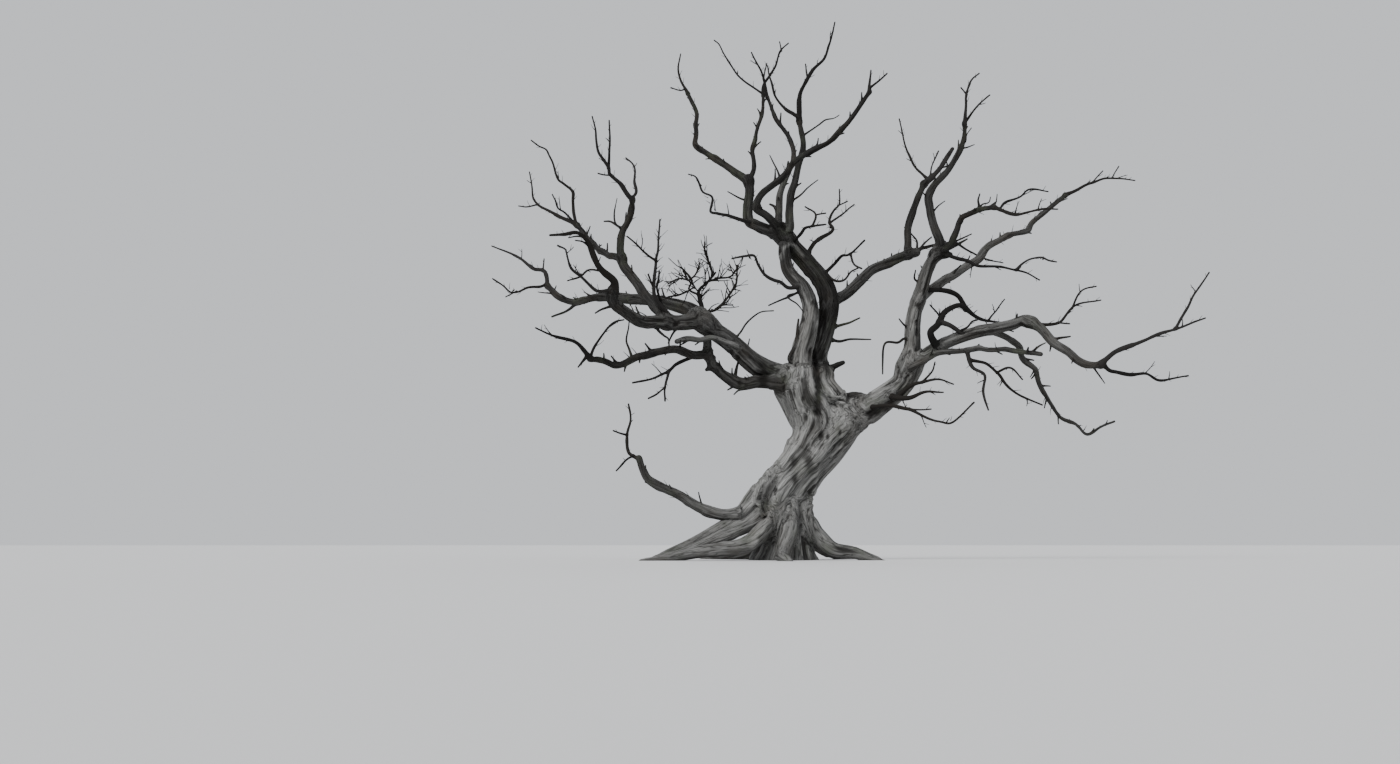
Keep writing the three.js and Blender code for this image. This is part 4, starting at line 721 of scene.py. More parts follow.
         (1836, -105, 3255), (1739, -120, 3255)], 58),
        (0, 0.835, 26, [(2580, 420, 3000), (2690, 460, 3140)]),
        (0, 0.24, 54, [(1997, -300, 2824), (2081, -290, 2782), (2153, -280, 2739), (2212, -270, 2702)], 46),
        (0, 0.27, 22, [(1855, -300, 2990), (1784, -330, 3070)]),
        (3, 0.75, 26, [(2227, -330, 2800), (2289, -300, 2867), (2350, -260, 2886)]),
    ]),
    dict(name="right_foot_twigs", on="right_bough", leaders=[
        (None, 0.42, 48, [(1170, -320, 1840), (1415, -440, 1822), (1550, -510, 1775), (1853, -650, 1651),
         (2010, -720, 1636), (2290, -820, 1880)]),
        (0, 0.42, 22, [(1620, -540, 1790), (1770, -600, 1800)]),
    ]),
    dict(name="right_fork_twigs", on="right_bough", leaders=[
        (None, 0.62, 76, [(1400, -290, 1930), (1560, -350, 1955), (1750, -410, 2009), (1922, -470, 2003)]),
        (0, 0.3, 50, [(1530, -340, 2080), (1690, -380, 2135), (1870, -420, 2158), (2047, -460, 2102)]),
        (1, 0.5, 28, [(1800, -370, 2270), (1830, -350, 2370)]),
    ]),
]
print("twig masses:", len(MASSES), "with", sum(len(row["leaders"]) for row in MASSES), "leaders")

# %% [markdown]
# ## Growing the limbs
#
# Every limb starts on the one that carries it, so the tree is made in the order in which it grew: trunk,
# boughs with their spurs, then the leaders of the twig masses. Objects could be parented in Blender, but
# the finished pieces have no joints. So each limb only remembers its carrier.

# %% How bleached some limbs are
# A share at the foot and one at the tip, from 0 for nearly black to 1 for silver, then where it changes from
# the one to the other. Other limbs go by girth.
BLEACHED = {
    "pale_stem": (1.0, 0.06), "centre_stem": (0.62, 0.02, 0.15, 0.5), "right_bough": (0.95, 0.8),
    "right_upright": (0.8, 0.3), "left_bough": (0.65, 0.28, 0, 0.35), "pale_stub": (0.65, 0.4),
    "lower_left_bough": (0.45, 0.18, 0, 0.2), "left_arm": (0.3, 0.14), "left_beam": (0.12, 0.05),
    "left_mast": (0.07, 0.02), "low_snag": (0.4, 0.06), "far_right_bough": (0.5, 0.35),
    "far_right_arm": (0.32, 0.15), "upper_right_arm": (0.35, 0.1), "centre_right_bough": (0.22, 0.12),
    "mast_bough": (0.32, 0.02, 0.05, 0.4), "inner_bough": (0.2, 0.04), "drooping_arm": (0.25, 0.12),
    "second_beam": (0.3, 0.1), "right_rise": (0.15, 0.05),
}
ROOT_BLEACH = (0.72, 0.5)
print("limbs with their own bleaching:", len(BLEACHED))

# %% Roots, boughs, spurs and leaders
SPUR_TAPER = 0.45
LEADER_TIP = 18
# A root's girth where it leaves the trunk, as a share, and the length over which it becomes full
ROOT_EMERGES = (0.7, 340)


def grown_spurs(carrier, spurs, seed):
    """Broken side spurs: each starts on the bough and reaches out by the steps of its row."""
    made = []
    for place, (at, girth, steps) in enumerate(spurs):
        foot = carrier.start_on(at)
        points = [foot] + [foot + np.array(step, float) for step in steps]
        girths = (girth, SPUR_TAPER * girth)
        made.append(Limb(points, girths, seed + place + 1, carrier=carrier, start=at))
    return made


def grown_bough(row):
    """A bough and its spurs. A bough on the trunk has its own first point inside it."""
    on_trunk = row["on"] == "trunk"
    carrier = "trunk" if on_trunk else limbs[row["on"]][0]
    first = [] if on_trunk else [carrier.start_on(row["at"])]
    points = first + [spot(point) for point in row["route"]]
    main = Limb(points, row["girth"], seed_of(row["name"]), carrier=carrier, start=row.get("at", 0))
    main.bleach = BLEACHED.get(row["name"], main.bleach)
    return [main] + grown_spurs(main, row.get("spurs", []), seed_of(row["name"]))


def grown_leaders(row):
    """A mass's leaders: the first stands on its bough, each other one on an earlier leader."""
    made = []
    for place, (of, at, girth, route, *tip) in enumerate(row["leaders"]):
        carrier = limbs[row["on"]][0] if of is None else made[of]
        points = [carrier.start_on(at)] + [spot(point) for point in route]
        girths = (girth, *(tip or [LEADER_TIP]))
        made.append(Limb(points, girths, seed_of(row["name"]) + place, carrier=carrier, start=at))
    return made


def grown_root(row):
    """A root has no collar, lies in its own depth and is as bleached as the trunk's foot."""
    points = [spot(point, ROOT_DEPTH) for point in row["route"]]
    root = Limb(points, row["girth"], seed_of(row["name"]), 0, carrier="trunk")
    root.bleach, root.emerge = ROOT_BLEACH, ROOT_EMERGES
    return root


roots = [grown_root(row) for row in ROOTS]
limbs = {"trunk": roots}
for row in BOUGHS:
    limbs[row["name"]] = grown_bough(row)
for row in MASSES:
    limbs[row["name"]] = grown_leaders(row)
print("limbs so far:", sum(len(own) for own in limbs.values()))

# %% [markdown]
# ## Side twigs by rule
#
# Side twigs stand along a leader at even steps, each turned on from the last by the golden angle, so that
# they never line up. They could be scattered with a particle system, but those are lost on export, and
# one twig would know nothing of the others. Here each twig is tested against all other limbs first, and
# one that has no room is left out. The same rule then runs once more for the finest twigs.

# %% Values of the rule
GOLDEN_TURN = math.pi * (3 - math.sqrt(5))
# First the step from twig to twig and a twig's reach, then the reach at the leader's foot and tip and by
# chance, as shares. Next how far a twig leans out, how freely it turns, lifts and strays, its joints and
# their kink. Last its girth, but no more than so many half girths of the leader, its tip, the room that it
# needs, its rings, and whether its reach is measured from the leader's skin.
TWIG = {
    "spacing": 425, "reach": 170, "at_foot": 1.1, "at_tip": 0.5, "shortest": 0.6, "longest": 1.4,
    "spread": 0.95, "turn": 6, "lift": 0.35, "stray": 0.5, "joints": 3, "kink": 0.3,
    "girth": 17, "stoutest": 1.3, "tip": 7, "room": 14, "rings": 2, "from_skin": 0,
}
FINE_TWIG = {
    **TWIG, "spacing": 105, "reach": 62, "at_foot": 1.0, "at_tip": 0.75, "shortest": 0.35, "longest": 1.5,
    "spread": 0.85, "joints": 2, "kink": 0.5, "girth": 9, "tip": 3.5, "room": 8, "from_skin": 1,
}
FINE_ON_BOUGH = {**FINE_TWIG, "spacing": 140, "reach": 75, "girth": 14, "shortest": 0.25}
STUB = {
    **FINE_TWIG, "spacing": 240, "reach": 100, "shortest": 0.4, "longest": 1.3, "joints": 1, "kink": 0.3,
    "girth": 29, "tip": 14,
}
print("each twig is turned on by", round(math.degrees(GOLDEN_TURN), 1), "degrees")

# %% Straight pieces and the gap between them
PARALLEL = 1e-9


def pieces_of(limb):
    """A limb as straight pieces: their starts, ends and the larger radius of their ends."""
    shares = np.linspace(0, 1, limb.rings + 1)
    points = limb.point_at(shares)
    return points[:-1], points[1:], limb.radius(shares[:-1])


def trunk_pieces():
    """The trunk's middle line between the rows of its table, as wide as the wider way of each row."""
    middles = np.stack([TRUNK_RINGS[:, 1], np.full(len(TRUNK_RINGS), TRUNK_BACK), TRUNK_RINGS[:, 0]], axis=1)
    return middles[:-1], middles[1:], TRUNK_RINGS[1:, 2:4].max(axis=1)


def gap_between(start, end, starts, ends):
    """The distance from one straight piece to each of many. The nearest places of the two endless lines are
    found first, as shares of the pieces' lengths, and are then kept between the pieces' ends."""
    along, others, offset = end - start, ends - starts, start - starts
    own, theirs, cross = along @ along, np.sum(others**2, 1), others @ along
    own_offset, their_offset = offset @ along, np.sum(others * offset, 1)
    slant = own * theirs - cross**2
    here = (cross * their_offset - own_offset * theirs) / np.maximum(slant, PARALLEL)
    here = np.where(slant > PARALLEL, np.clip(here, 0, 1), 0)
    there = (cross * here + their_offset) / theirs
    here = np.where(there > 1, np.clip((cross - own_offset) / own, 0, 1), here)
    here = np.where(there < 0, np.clip(-own_offset / own, 0, 1), here)
    there = np.clip(there, 0, 1)
    return np.linalg.norm(offset + here[:, None] * along - there[:, None] * others, axis=1)


print("straight pieces in the trunk:", len(trunk_pieces()[2]))

# %% The room that other limbs leave
CROWN_TOP = 6640
GROUND_ROOM = 60


class Taken:
    """All straight pieces so far, with the node that each one belongs to."""

    def __init__(self):
        self.rows = []
        self.packed = None

    def add(self, node, starts, ends, radii):
        self.rows.append((np.full(len(radii), node), starts, ends, radii))
        self.packed = None

    def has_room(self, limb, node, room):
        """Whether a twig stays inside the crown's height and clear of every other node."""
        if self.packed is None:
            self.packed = [np.concatenate(column) for column in zip(*self.rows)]
        nodes, starts, ends, radii = self.packed
        other = nodes != node
        own = pieces_of(limb)
        if np.any(own[1][:, 2] >= CROWN_TOP) or np.any(own[1][:, 2] <= GROUND_ROOM):
            return False
        return all(
            np.all(gap_between(start, end, starts[other], ends[other]) > radius + radii[other] + room)
            for start, end, radius in zip(*own)
        )


taken = Taken()
taken.add("trunk", *trunk_pieces())
for node, own in limbs.items():
    for limb in own:
        taken.add(node, *pieces_of(limb))
print("straight pieces that take up room:", sum(len(radii) for _, _, _, radii in taken.rows))

# %% One twig's route
TURN_DRAW, LENGTH_DRAW = 0.5, 0.25
KINK_DRAWS = np.arange(3) / 7


def turned(vector, axis, angle):
    """A vector turned about an axis: its part along the axis stays, the rest goes round by the angle."""
    along = axis * (vector @ axis)
    return along + (vector - along) * math.cos(angle) + np.cross(axis, vector) * math.sin(angle)


def twig_route(leader, share, place, seed, rule):
    """A twig leans out from its leader by the spread, towards the side that the golden turn gives, lifts a
    little and kinks at each joint. It is shorter near the leader's tip."""
    along = leader.heading_at(share)
    sideways = unit(np.cross([-along[1], along[0], 0], along))
    sideways = turned(sideways, along, place * GOLDEN_TURN + rule["turn"] * chance(seed, place + TURN_DRAW))
    heading = along * math.cos(rule["spread"]) + sideways * math.sin(rule["spread"])
    heading = unit(heading + [0, 0, rule["lift"]])
    fullness = rule["shortest"] + (rule["longest"] - rule["shortest"]) * chance(seed, place + LENGTH_DRAW)
    length = rule["reach"] * (rule["at_foot"] + (rule["at_tip"] - rule["at_foot"]) * share) * fullness
    length += rule["from_skin"] * float(leader.radius(share)) / math.sin(rule["spread"])
    points = [leader.start_on(share)]
    for joint in range(1, rule["joints"] + 1):
        kink = rule["kink"] * (chance(seed + joint, place + KINK_DRAWS) - 0.5)
        heading = unit(heading + kink)
        points.append(points[-1] + heading * length / rule["joints"])
    return points


print("across, turned about up:", turned(np.array([1.0, 0, 0]), np.array([0, 0, 1.0]), math.pi / 2).round(3))

# %% Side twigs along every leader
TWIG_TAPER = 0.8
SEED_STEP = 10


def side_twigs(leader, node, seed, rule, first=0.0):
    """Twigs at even steps with a seeded stray, from the first share of the leader on. A twig without room is
    left out, and its leader forgets it."""
    count = int(leader.length * (1 - first) / rule["spacing"])
    made = []
    for place in range(1, count + 1):
        share = first + (1 - first) * (place + rule["stray"] * chance(seed, place)) / (count + 1)
        points = twig_route(leader, share, place, seed, rule)
        foot = min(rule["girth"], rule["stoutest"] * float(leader.radius(share)))
        girth = (foot, min(rule["tip"], TWIG_TAPER * foot))
        twig = Limb(points, girth, seed + place, carrier=leader, start=share, rings=rule["rings"])
        if taken.has_room(twig, node, rule["room"]):
            made.append(twig)
        else:
            leader.children.remove(twig)
    return made


for row in MASSES:
    node, own = row["name"], limbs[row["name"]]
    rule = {**TWIG, **{key: row[key] for key in ("spacing", "reach") if key in row}}
    twigs = []
    for place, leader in enumerate(list(own)):
        twigs += side_twigs(leader, node, seed_of(node) + SEED_STEP * place, rule)
    own += twigs
    for twig in twigs:
        taken.add(node, *pieces_of(twig))
print("limbs with side twigs:", sum(len(own) for own in limbs.values()))

# %% The finest twigs, and stubs on the thinner boughs
# Where the crown is denser the finest twigs are closer, longer and stouter
DENSE = {
    "tangle": {"spacing": 40, "reach": 175, "girth": 15, "tip": 7, "joints": 3},
    "left_sprout_twigs": {"spacing": 60, "reach": 110, "girth": 12},
    "left_arm": {"spacing": 80, "reach": 130, "girth": 16, "tip": 6},
    "left_beam": {"spacing": 100, "reach": 110},
}
FINE_SEED, FINE_SEED_STEP, STUB_SEED = 500, 7, 900
# The share of a leader or a bough at which its finest twigs or stubs begin, and the tip of a thin bough
LEADER_FROM, BOUGH_FROM, STUBS_FROM = 0.06, 0.3, 0.1
THIN_TIP = 125

fine = {}
for row in MASSES:
    node = row["name"]
    rule = {**FINE_TWIG, **DENSE.get(node, {})}
    fine[node] = []
    for place, leader in enumerate(limbs[node]):
        seed = seed_of(node) + FINE_SEED + FINE_SEED_STEP * place
        fine[node] += side_twigs(leader, node, seed, rule, LEADER_FROM)
for row in BOUGHS:
    node, bough = row["name"], limbs[row["name"]][0]
    rule = {**FINE_ON_BOUGH, **DENSE.get(node, {})}
    fine[node] = []
    if bough.tip < THIN_TIP:
        fine[node] += side_twigs(bough, node, seed_of(node) + FINE_SEED, rule, BOUGH_FROM)
        fine[node] += side_twigs(bough, node, seed_of(node) + STUB_SEED, STUB, STUBS_FROM)
print("finest twigs and stubs:", sum(len(own) for own in fine.values()))

# %% Splinters where a bough broke off
# The bough, the share along it, the girth and the steps out
SPLINTERS = [
    ("right_upright", 0.9, 34, [(50, -50, 60), (130, -70, 150)]),
    ("right_upright", 0.93, 36, [(120, -60, 30), (270, -80, 95)]),
    ("right_upright", 0.86, 26, [(-40, -60, 40), (-30, -80, 120)]),
    ("right_upright", 0.96, 24, [(-20, -60, 50), (10, -80, 130)]),
]
SPLINTER_TAPER = 0.25
for node, at, girth, steps in SPLINTERS:
    bough = limbs[node][0]
    foot = bough.start_on(at)
    points = [foot] + [foot + np.array(step, float) for step in steps]
    splinter = Limb(points, (girth, SPLINTER_TAPER * girth), seed_of(node) + girth, carrier=bough, start=at)
    fine[node].append(splinter)
print("splinters:", len(SPLINTERS))

# %% [markdown]
# ## Rings and frames along a limb
#
# A tube needs a ring at each step, and each ring needs to know which way is "across". If every ring chose
# freely the tube would twist. So each ring takes the last one's direction, turned only as far as the limb
# itself turned. The foot's ring takes it from the carrier, so the grain flows on from limb to limb.

# %% Laying rings along a limb
FEWEST_STEPS = 3
TRUNK_FRAME = (np.array([1.0, 0, 0]), np.array([0, 0, 1.0]))


def carried_over(across, heading, new_heading):
    """The direction "across", turned by the smallest turn that takes the old heading to the new one."""
    both = heading + new_heading
    folded = across - both * (both @ across) / (1 + heading @ new_heading)
    return folded + 2 * new_heading * (heading @ across)


def lay_rings(limb, step):
    """Rings at even steps: their middles, headings, and "across" carried on from the carrier's frame."""
    count = max(FEWEST_STEPS, math.ceil(limb.length / step))
    limb.shares = np.linspace(0, 1, count + 1)
    limb.middles = limb.point_at(limb.shares)
    limb.headings = unit(np.gradient(limb.middles, axis=0))
    if isinstance(limb.carrier, Limb):
        place = min(int(limb.start * (len(limb.carrier.shares) - 1)), len(limb.carrier.shares) - 1)
        across, heading = limb.carrier.acrosses[place], limb.carrier.headings[place]
        limb.grown = limb.carrier.grown + limb.start * limb.carrier.length
    else:
        across, heading = TRUNK_FRAME
        limb.grown = float(limb.middles[0, 2])
    acrosses = []
    for new_heading in limb.headings:
        across = unit(carried_over(across, heading, new_heading))
        heading = new_heading
        acrosses.append(across)
    limb.acrosses = np.array(acrosses)
    limb.sides = np.cross(limb.headings, limb.acrosses)


# The step between rings for limbs over a girth, and for the finest ones
RING_STEPS = [(60, 20.0), (24, 24.0), (0, 30.0)]
FINE_RING_STEP = 30.0
for own in limbs.values():
    for limb in own:
        lay_rings(limb, next(step for over, step in RING_STEPS if limb.foot > over))
for own in fine.values():
    for limb in own:
        lay_rings(limb, FINE_RING_STEP)
laid = sum(len(limb.shares) for grown in (limbs, fine) for own in grown.values() for limb in own)
print("rings laid:", laid)

# %% [markdown]
# ## Joints that flow together
#
# Where a bough leaves the trunk the wood swells into a smooth crotch. A voxel remesh would blend the
# tubes, but it would lose the rings that the grain follows. So each tube stays a tube, and its points
# near a joint are moved onto one shared skin: the place where the blended distance to both limbs is nil.

# %% How far a point is from a limb's skin
AT_ONCE = 20000
LEAST_AWAY = 1e-6


def nearest_ring(middles, points):
    """The number of the nearest ring's middle, from |p|^2 - 2 p.c + |c|^2 for all pairs at once."""
    found = [
        np.argmin(np.sum(middles**2, 1) - 2 * part @ middles.T, axis=1)
        for part in np.array_split(points, max(1, len(points) // AT_ONCE))
    ]
    return np.concatenate(found)


def limb_field(limb, points):
    """Distance from the skin = distance from the middle line less the radius there. Also the way out, and
    the place in the limb's own straight frame: across, side and length grown from the ground. The last
    column is how bleached the limb is there."""
    near = nearest_ring(limb.middles, points)
    ahead = np.sum((points - limb.middles[near]) * limb.headings[near], axis=1)
    share = np.clip(limb.shares[near] + ahead / limb.length, 0, 1)
    spot_on = share * (len(limb.shares) - 1)
    low = np.minimum(spot_on.astype(int), len(limb.shares) - 2)
    blend = (spot_on - low)[:, None]
    mixed = [rows[low] * (1 - blend) + rows[low + 1] * blend
             for rows in (limb.middles, limb.acrosses, limb.sides, limb.headings)]
    offset = points - mixed[0]
    away = np.linalg.norm(offset, axis=1)
    radius = limb.radius(share)
    own = [np.sum(offset * axis, axis=1) for axis in mixed[1:]]
    grown = limb.grown + share * limb.length + own[2]
    grain = np.stack([own[0], own[1], grown, limb.bleach_at(share)], axis=1)
    return away - radius, offset / np.maximum(away, LEAST_AWAY)[:, None], grain, radius


main_right = limbs["right_bough"][0]
print("skin of the right bough from its middle:", limb_field(main_right, main_right.middles[:1])[0].round())

# %% How far a point is from the trunk's skin
# The trunk's bleaching at the ground, what is gained above it, and the heights between which it is gained, so
# the trunk is darker towards the ground
DARKER_FOOT = (0.62, 0.33, 80, 900)
# The bleaching lost at the fork, and the heights between which it is lost
FORK_SHADE = (0.35, 2080, 2330)
GRAIN_GIRTH = 280
SLOPE_STEP, LEAST_SLOPE = 2, 0.2


def trunk_gap(points):
    """Level distance from the trunk's skin: how far the point's ring number is past the relief, times the
    ring's size in that direction."""
    height = np.clip(points[:, 2], 0, TRUNK_TOP)
    across, half_width, half_depth = trunk_row(height)
    x, y = (points[:, 0] - across) / half_width, (points[:, 1] - TRUNK_BACK) / half_depth
    angle, ring = np.arctan2(y, x), np.hypot(x, y)
    size = np.hypot(half_width * np.cos(angle), half_depth * np.sin(angle))
    gap = (ring - trunk_relief(angle, height)) * size
    above = np.maximum(points[:, 2] - TRUNK_TOP, 0)
    return np.where(above > 0, np.hypot(np.maximum(gap, 0), above), gap)


def trunk_field(points):
    """As limb_field, with the slope of the gap taken over a small step on each axis. The grain's place is a
    share of the half width and half depth, so the ridges spread with the flared foot."""
    gap = trunk_gap(points)
    slopes = [(trunk_gap(points + SLOPE_STEP * axis) - gap) / SLOPE_STEP for axis in np.eye(3)]
    slope = np.stack(slopes, axis=1)
    steep = np.maximum(np.linalg.norm(slope, axis=1), LEAST_SLOPE)
    across, half_width, half_depth = trunk_row(np.clip(points[:, 2], 0, TRUNK_TOP))
    bleach = DARKER_FOOT[0] + DARKER_FOOT[1] * smoothstep(points[:, 2], *DARKER_FOOT[2:])
    bleach -= FORK_SHADE[0] * smoothstep(points[:, 2], *FORK_SHADE[1:])
    x, y = (points[:, 0] - across) / half_width, (points[:, 1] - TRUNK_BACK) / half_depth
    grain = np.stack([GRAIN_GIRTH * x, GRAIN_GIRTH * y, points[:, 2], bleach], axis=1)
    return gap / steep, slope / steep[:, None], grain, 0.5 * (half_width + half_depth)


in_front = np.array([[0.0, -2000.0, 1000.0]])
print("2 m in front, at 1 m height, the trunk's skin is", trunk_field(in_front)[0].round(), "mm away")

# %% The blended skin
BLEND = 0.9
# Thinner limbs are not blended
BLENDED_GIRTH = 20
TRUNK_LOW, TRUNK_HIGH = np.array([-900.0, -700, -300]), np.array([1100.0, 800, TRUNK_TOP])
# A point this deep in a neighbour, in widths of the blend, starts to stay where it is, and stays wholly
DEEP_INSIDE = (0.3, 0.8)


def neighbours_of(limb):
    """The limbs that join this one, each with the blend's width: a share of the smaller limb's radius."""
    if limb == "trunk":
        boughs = [own[0] for own in limbs.values() if own is not roots and own[0].carrier == "trunk"]
        return [(other, BLEND * other.foot / 2) for other in roots + boughs]
    joined = [(child, BLEND * child.foot / 2) for child in limb.children if child.foot > BLENDED_GIRTH]
    if limb.carrier is not None:
        joined.append((limb.carrier, BLEND * limb.foot / 2))
    return joined


def field_of(limb, points):
    return trunk_field(points) if limb == "trunk" else limb_field(limb, points)


def box_of(limb, room):
    if limb == "trunk":
        return TRUNK_LOW - room, TRUNK_HIGH + room
    grown = limb.radius(0.0) + room
    return limb.middles.min(0) - grown, limb.middles.max(0) + grown


def blended_field(limb, points, joined):
    """Folds in one neighbour after the other: with own distance a, other distance b and width k, the share
    h = (1 + (a - b) / k) / 2 kept within 0 to 1, the distance is a (1 - h) + b h - k h (1 - h)."""
    gap, out, grain, radius = field_of(limb, points)
    free = np.ones(len(points))
    for other, width in joined:
        low, high = box_of(other, 2 * width)
        near = np.all((points > low) & (points < high), axis=1)
        if not near.any():
            continue
        their_gap, their_out, their_grain, their_radius = field_of(other, points[near])
        free[near] *= 1 - smoothstep(-their_gap, DEEP_INSIDE[0] * width, DEEP_INSIDE[1] * width)
        share = np.clip(0.5 + 0.5 * (gap[near] - their_gap) / width, 0, 1)
        gap[near] += (their_gap - gap[near]) * share - width * share * (1 - share)
        radius[near] += (their_radius - radius[near]) * share
        out[near] += (their_out - out[near]) * share[:, None]
        grain[near] += (their_grain - grain[near]) * share[:, None]
    return gap, out, grain, radius, free


print("limbs that join the trunk:", len(neighbours_of("trunk")))

# %% Moving points onto the blended skin
SETTLING_STEPS = 3
LEAST_PULL = 0.15


def settled(limb, points, joined):
    """Moves points onto the blended skin in a few steps, apart from those deep inside a neighbour."""
    gap, out, grain, radius, free = blended_field(limb, points, joined)
    for _ in range(SETTLING_STEPS):
        slope = np.maximum(np.sum(out**2, axis=1), LEAST_PULL)
        points = points - (free * gap / slope)[:, None] * out
        gap, out, grain, radius, _ = blended_field(limb, points, joined)
    return points, unit(out), grain, radius


nearer = settled("trunk", in_front, neighbours_of("trunk"))[0]
print("a point 2 m in front of the trunk settles at", nearer.round(), "mm")

# %% [markdown]
# ## The weathered relief
#
# Bare old wood is not smooth. Its grain stands out in long ridges that wind round the limb, and dry
# cracks run between them. A displacement texture could draw this, but it would need an unwrapped tube.
# Instead a noise is worked out at each point's place in its limb's straight frame, stretched lengthways.

# %% A smooth noise on a lattice
LATTICE_TURN = 57


def lattice_noise(places):
    """Each lattice corner has a chance from 0 to 1, and between corners it is mixed by 3t^2 - 2t^3."""
    cell = np.floor(places)
    t = places - cell
    t = t * t * (3 - 2 * t)
    total = np.zeros(len(places))
    for dx in (0, 1):
        for dy in (0, 1):
            for dz in (0, 1):
                weight = (t[:, 0] if dx else 1 - t[:, 0]) * (t[:, 1] if dy else 1 - t[:, 1])
                weight = weight * (t[:, 2] if dz else 1 - t[:, 2])
                corner = (cell[:, 0] + dx) + LATTICE_TURN * (cell[:, 1] + dy)
                total += weight * chance(corner, cell[:, 2] + dz)
    return total


print("noise at two places:", lattice_noise(np.array([[0.2, 0, 0], [5.1, 2, 8.5]])).round(2))

# %% Grain that winds round the limb
GRAIN_TWIST = 0.0004


def wound(grain):
    """The place is turned back by GRAIN_TWIST for each millimetre grown."""
    angle = -GRAIN_TWIST * grain[:, 2]
    x = grain[:, 0] * np.cos(angle) - grain[:, 1] * np.sin(angle)
    y = grain[:, 0] * np.sin(angle) + grain[:, 1] * np.cos(angle)
    return np.stack([x, y, grain[:, 2]], axis=1)


print("the grain makes a full turn in", round(2 * math.pi / GRAIN_TWIST / 1000, 1), "m")

# %% The height of the wood over its smooth form
# Each form's width, depth and length along the grain, and a shift that keeps the noises apart
SWELL, RIDGE, FINE_RIDGE = ((110, 110, 900), 7.3), ((58, 58, 1500), 3.1), ((25, 25, 600), 11.7)
SPLIT, KNOB = ((52, 52, 1300), 23.9), ((75, 75, 130), 41.7)
# Its height as a share of the radius, and the most that it may be
SWELL_HEIGHT, RIDGE_HEIGHT, FINE_HEIGHT, SPLIT_DEPTH = (0.12, 20), (0.14, 20), (0.05, 6), (0.1, 12)
# A knob's height as a share of the radius, and the radii between which knobs fade out
KNOB_HEIGHT, KNOB_RADII = 0.32, (35, 110)
RIDGE_EDGE, SPLIT_EDGE, KNOB_EDGE, RIDGE_LEVEL = (0.2, 0.85), (0.0, 0.1), (0.55, 0.95), 0.6
# The radii between which the hollows, and so their painted shade, fade in
HOLLOW_RADII = (14, 80)


def grain_noise(grain, form):
    size, shift = form
    return lattice_noise(grain / size + shift)


def from_middle(noise):
    """How far a noise is from its middle, from 0 to 1."""
    return np.abs(2 * noise - 1)


def capped(height, radius):
    share, most = height
    return np.minimum(share * radius, most)


def relief(grain, radius):
    """Broad swells, long ridges and fine ridges where a noise is near its middle, splits where it is very
    near, and knobs on the boughs. The second result is 0 in hollows and 1 elsewhere; the material darkens
    the hollows by it as painted shade."""
    swell = grain_noise(grain, SWELL) - 0.5
    ridge = smoothstep(1 - from_middle(grain_noise(grain, RIDGE)), *RIDGE_EDGE)
    fine_ridge = smoothstep(1 - from_middle(grain_noise(grain, FINE_RIDGE)), *RIDGE_EDGE)
    split = 1 - smoothstep(from_middle(grain_noise(grain, SPLIT)), *SPLIT_EDGE)
    knob = smoothstep(grain_noise(grain, KNOB), *KNOB_EDGE)
    height = capped(SWELL_HEIGHT, radius) * swell + capped(RIDGE_HEIGHT, radius) * (ridge - RIDGE_LEVEL)
    height += capped(FINE_HEIGHT, radius) * (fine_ridge - RIDGE_LEVEL) - capped(SPLIT_DEPTH, radius) * split
    height += KNOB_HEIGHT * radius * (1 - smoothstep(radius, *KNOB_RADII)) * knob
    hollow = np.clip(0.18 + 0.5 * ridge + 0.32 * fine_ridge + 0.3 * swell - 0.6 * split, 0, 1)
    return height, 1 - (1 - hollow) * smoothstep(radius, *HOLLOW_RADII)


relief_there = relief(np.array([[40.0, 10, 300]]), np.array([300.0]))[0]
print("relief at a place on a stout limb:", relief_there.round(1))

# %% [markdown]
# ## Knots, scars and ridges
#
# Some marks belong to this one tree: knots where twigs broke off, cracks, a groove between the stems, and
# pale ridges that run down into the roots. The knots' pits, the cracks and the groove are darkened as painted
# shade.
# Painted masks would need an image. So each mark is named by its place as seen from the front, and the wood
# there is sunk or raised and darkened or bleached.

# %% Where the knots are
# Across, up, size and depth of each knot
KNOTS = np.array([
    (54, 2299, 20, 10), (151, 2335, 16, 8), (221, 2153, 20, 10), (256, 2007, 22, 13),
    (244, 1935, 26, 16), (278, 1777, 16, 8), (265, 1693, 28, 15), (455, 1476, 34, 22),
    (527, 1464, 26, 16), (672, 1524, 26, 16), (774, 1947, 38, 24), (127, 972, 46, 24),
    (117, 1164, 30, 14), (296, 1164, 60, 22), (-101, 817, 30, 14), (-634, 2482, 26, 14),
    (-550, 2409, 30, 16), (-237, 2177, 75, 26), (-527, 2117, 24, 12),
    (1619, 2726, 28, 14), (1603, 2518, 24, 12),
    (1967, 3713, 40, 18), (436, 3095, 40, 26), (466, 2433, 46, 22), (-33, 3726, 24, 12),
    (240, 2886, 26, 14), (416, 2323, 34, 18), (505, 2320, 60, -20),
], float)
print("knots:", len(KNOTS))
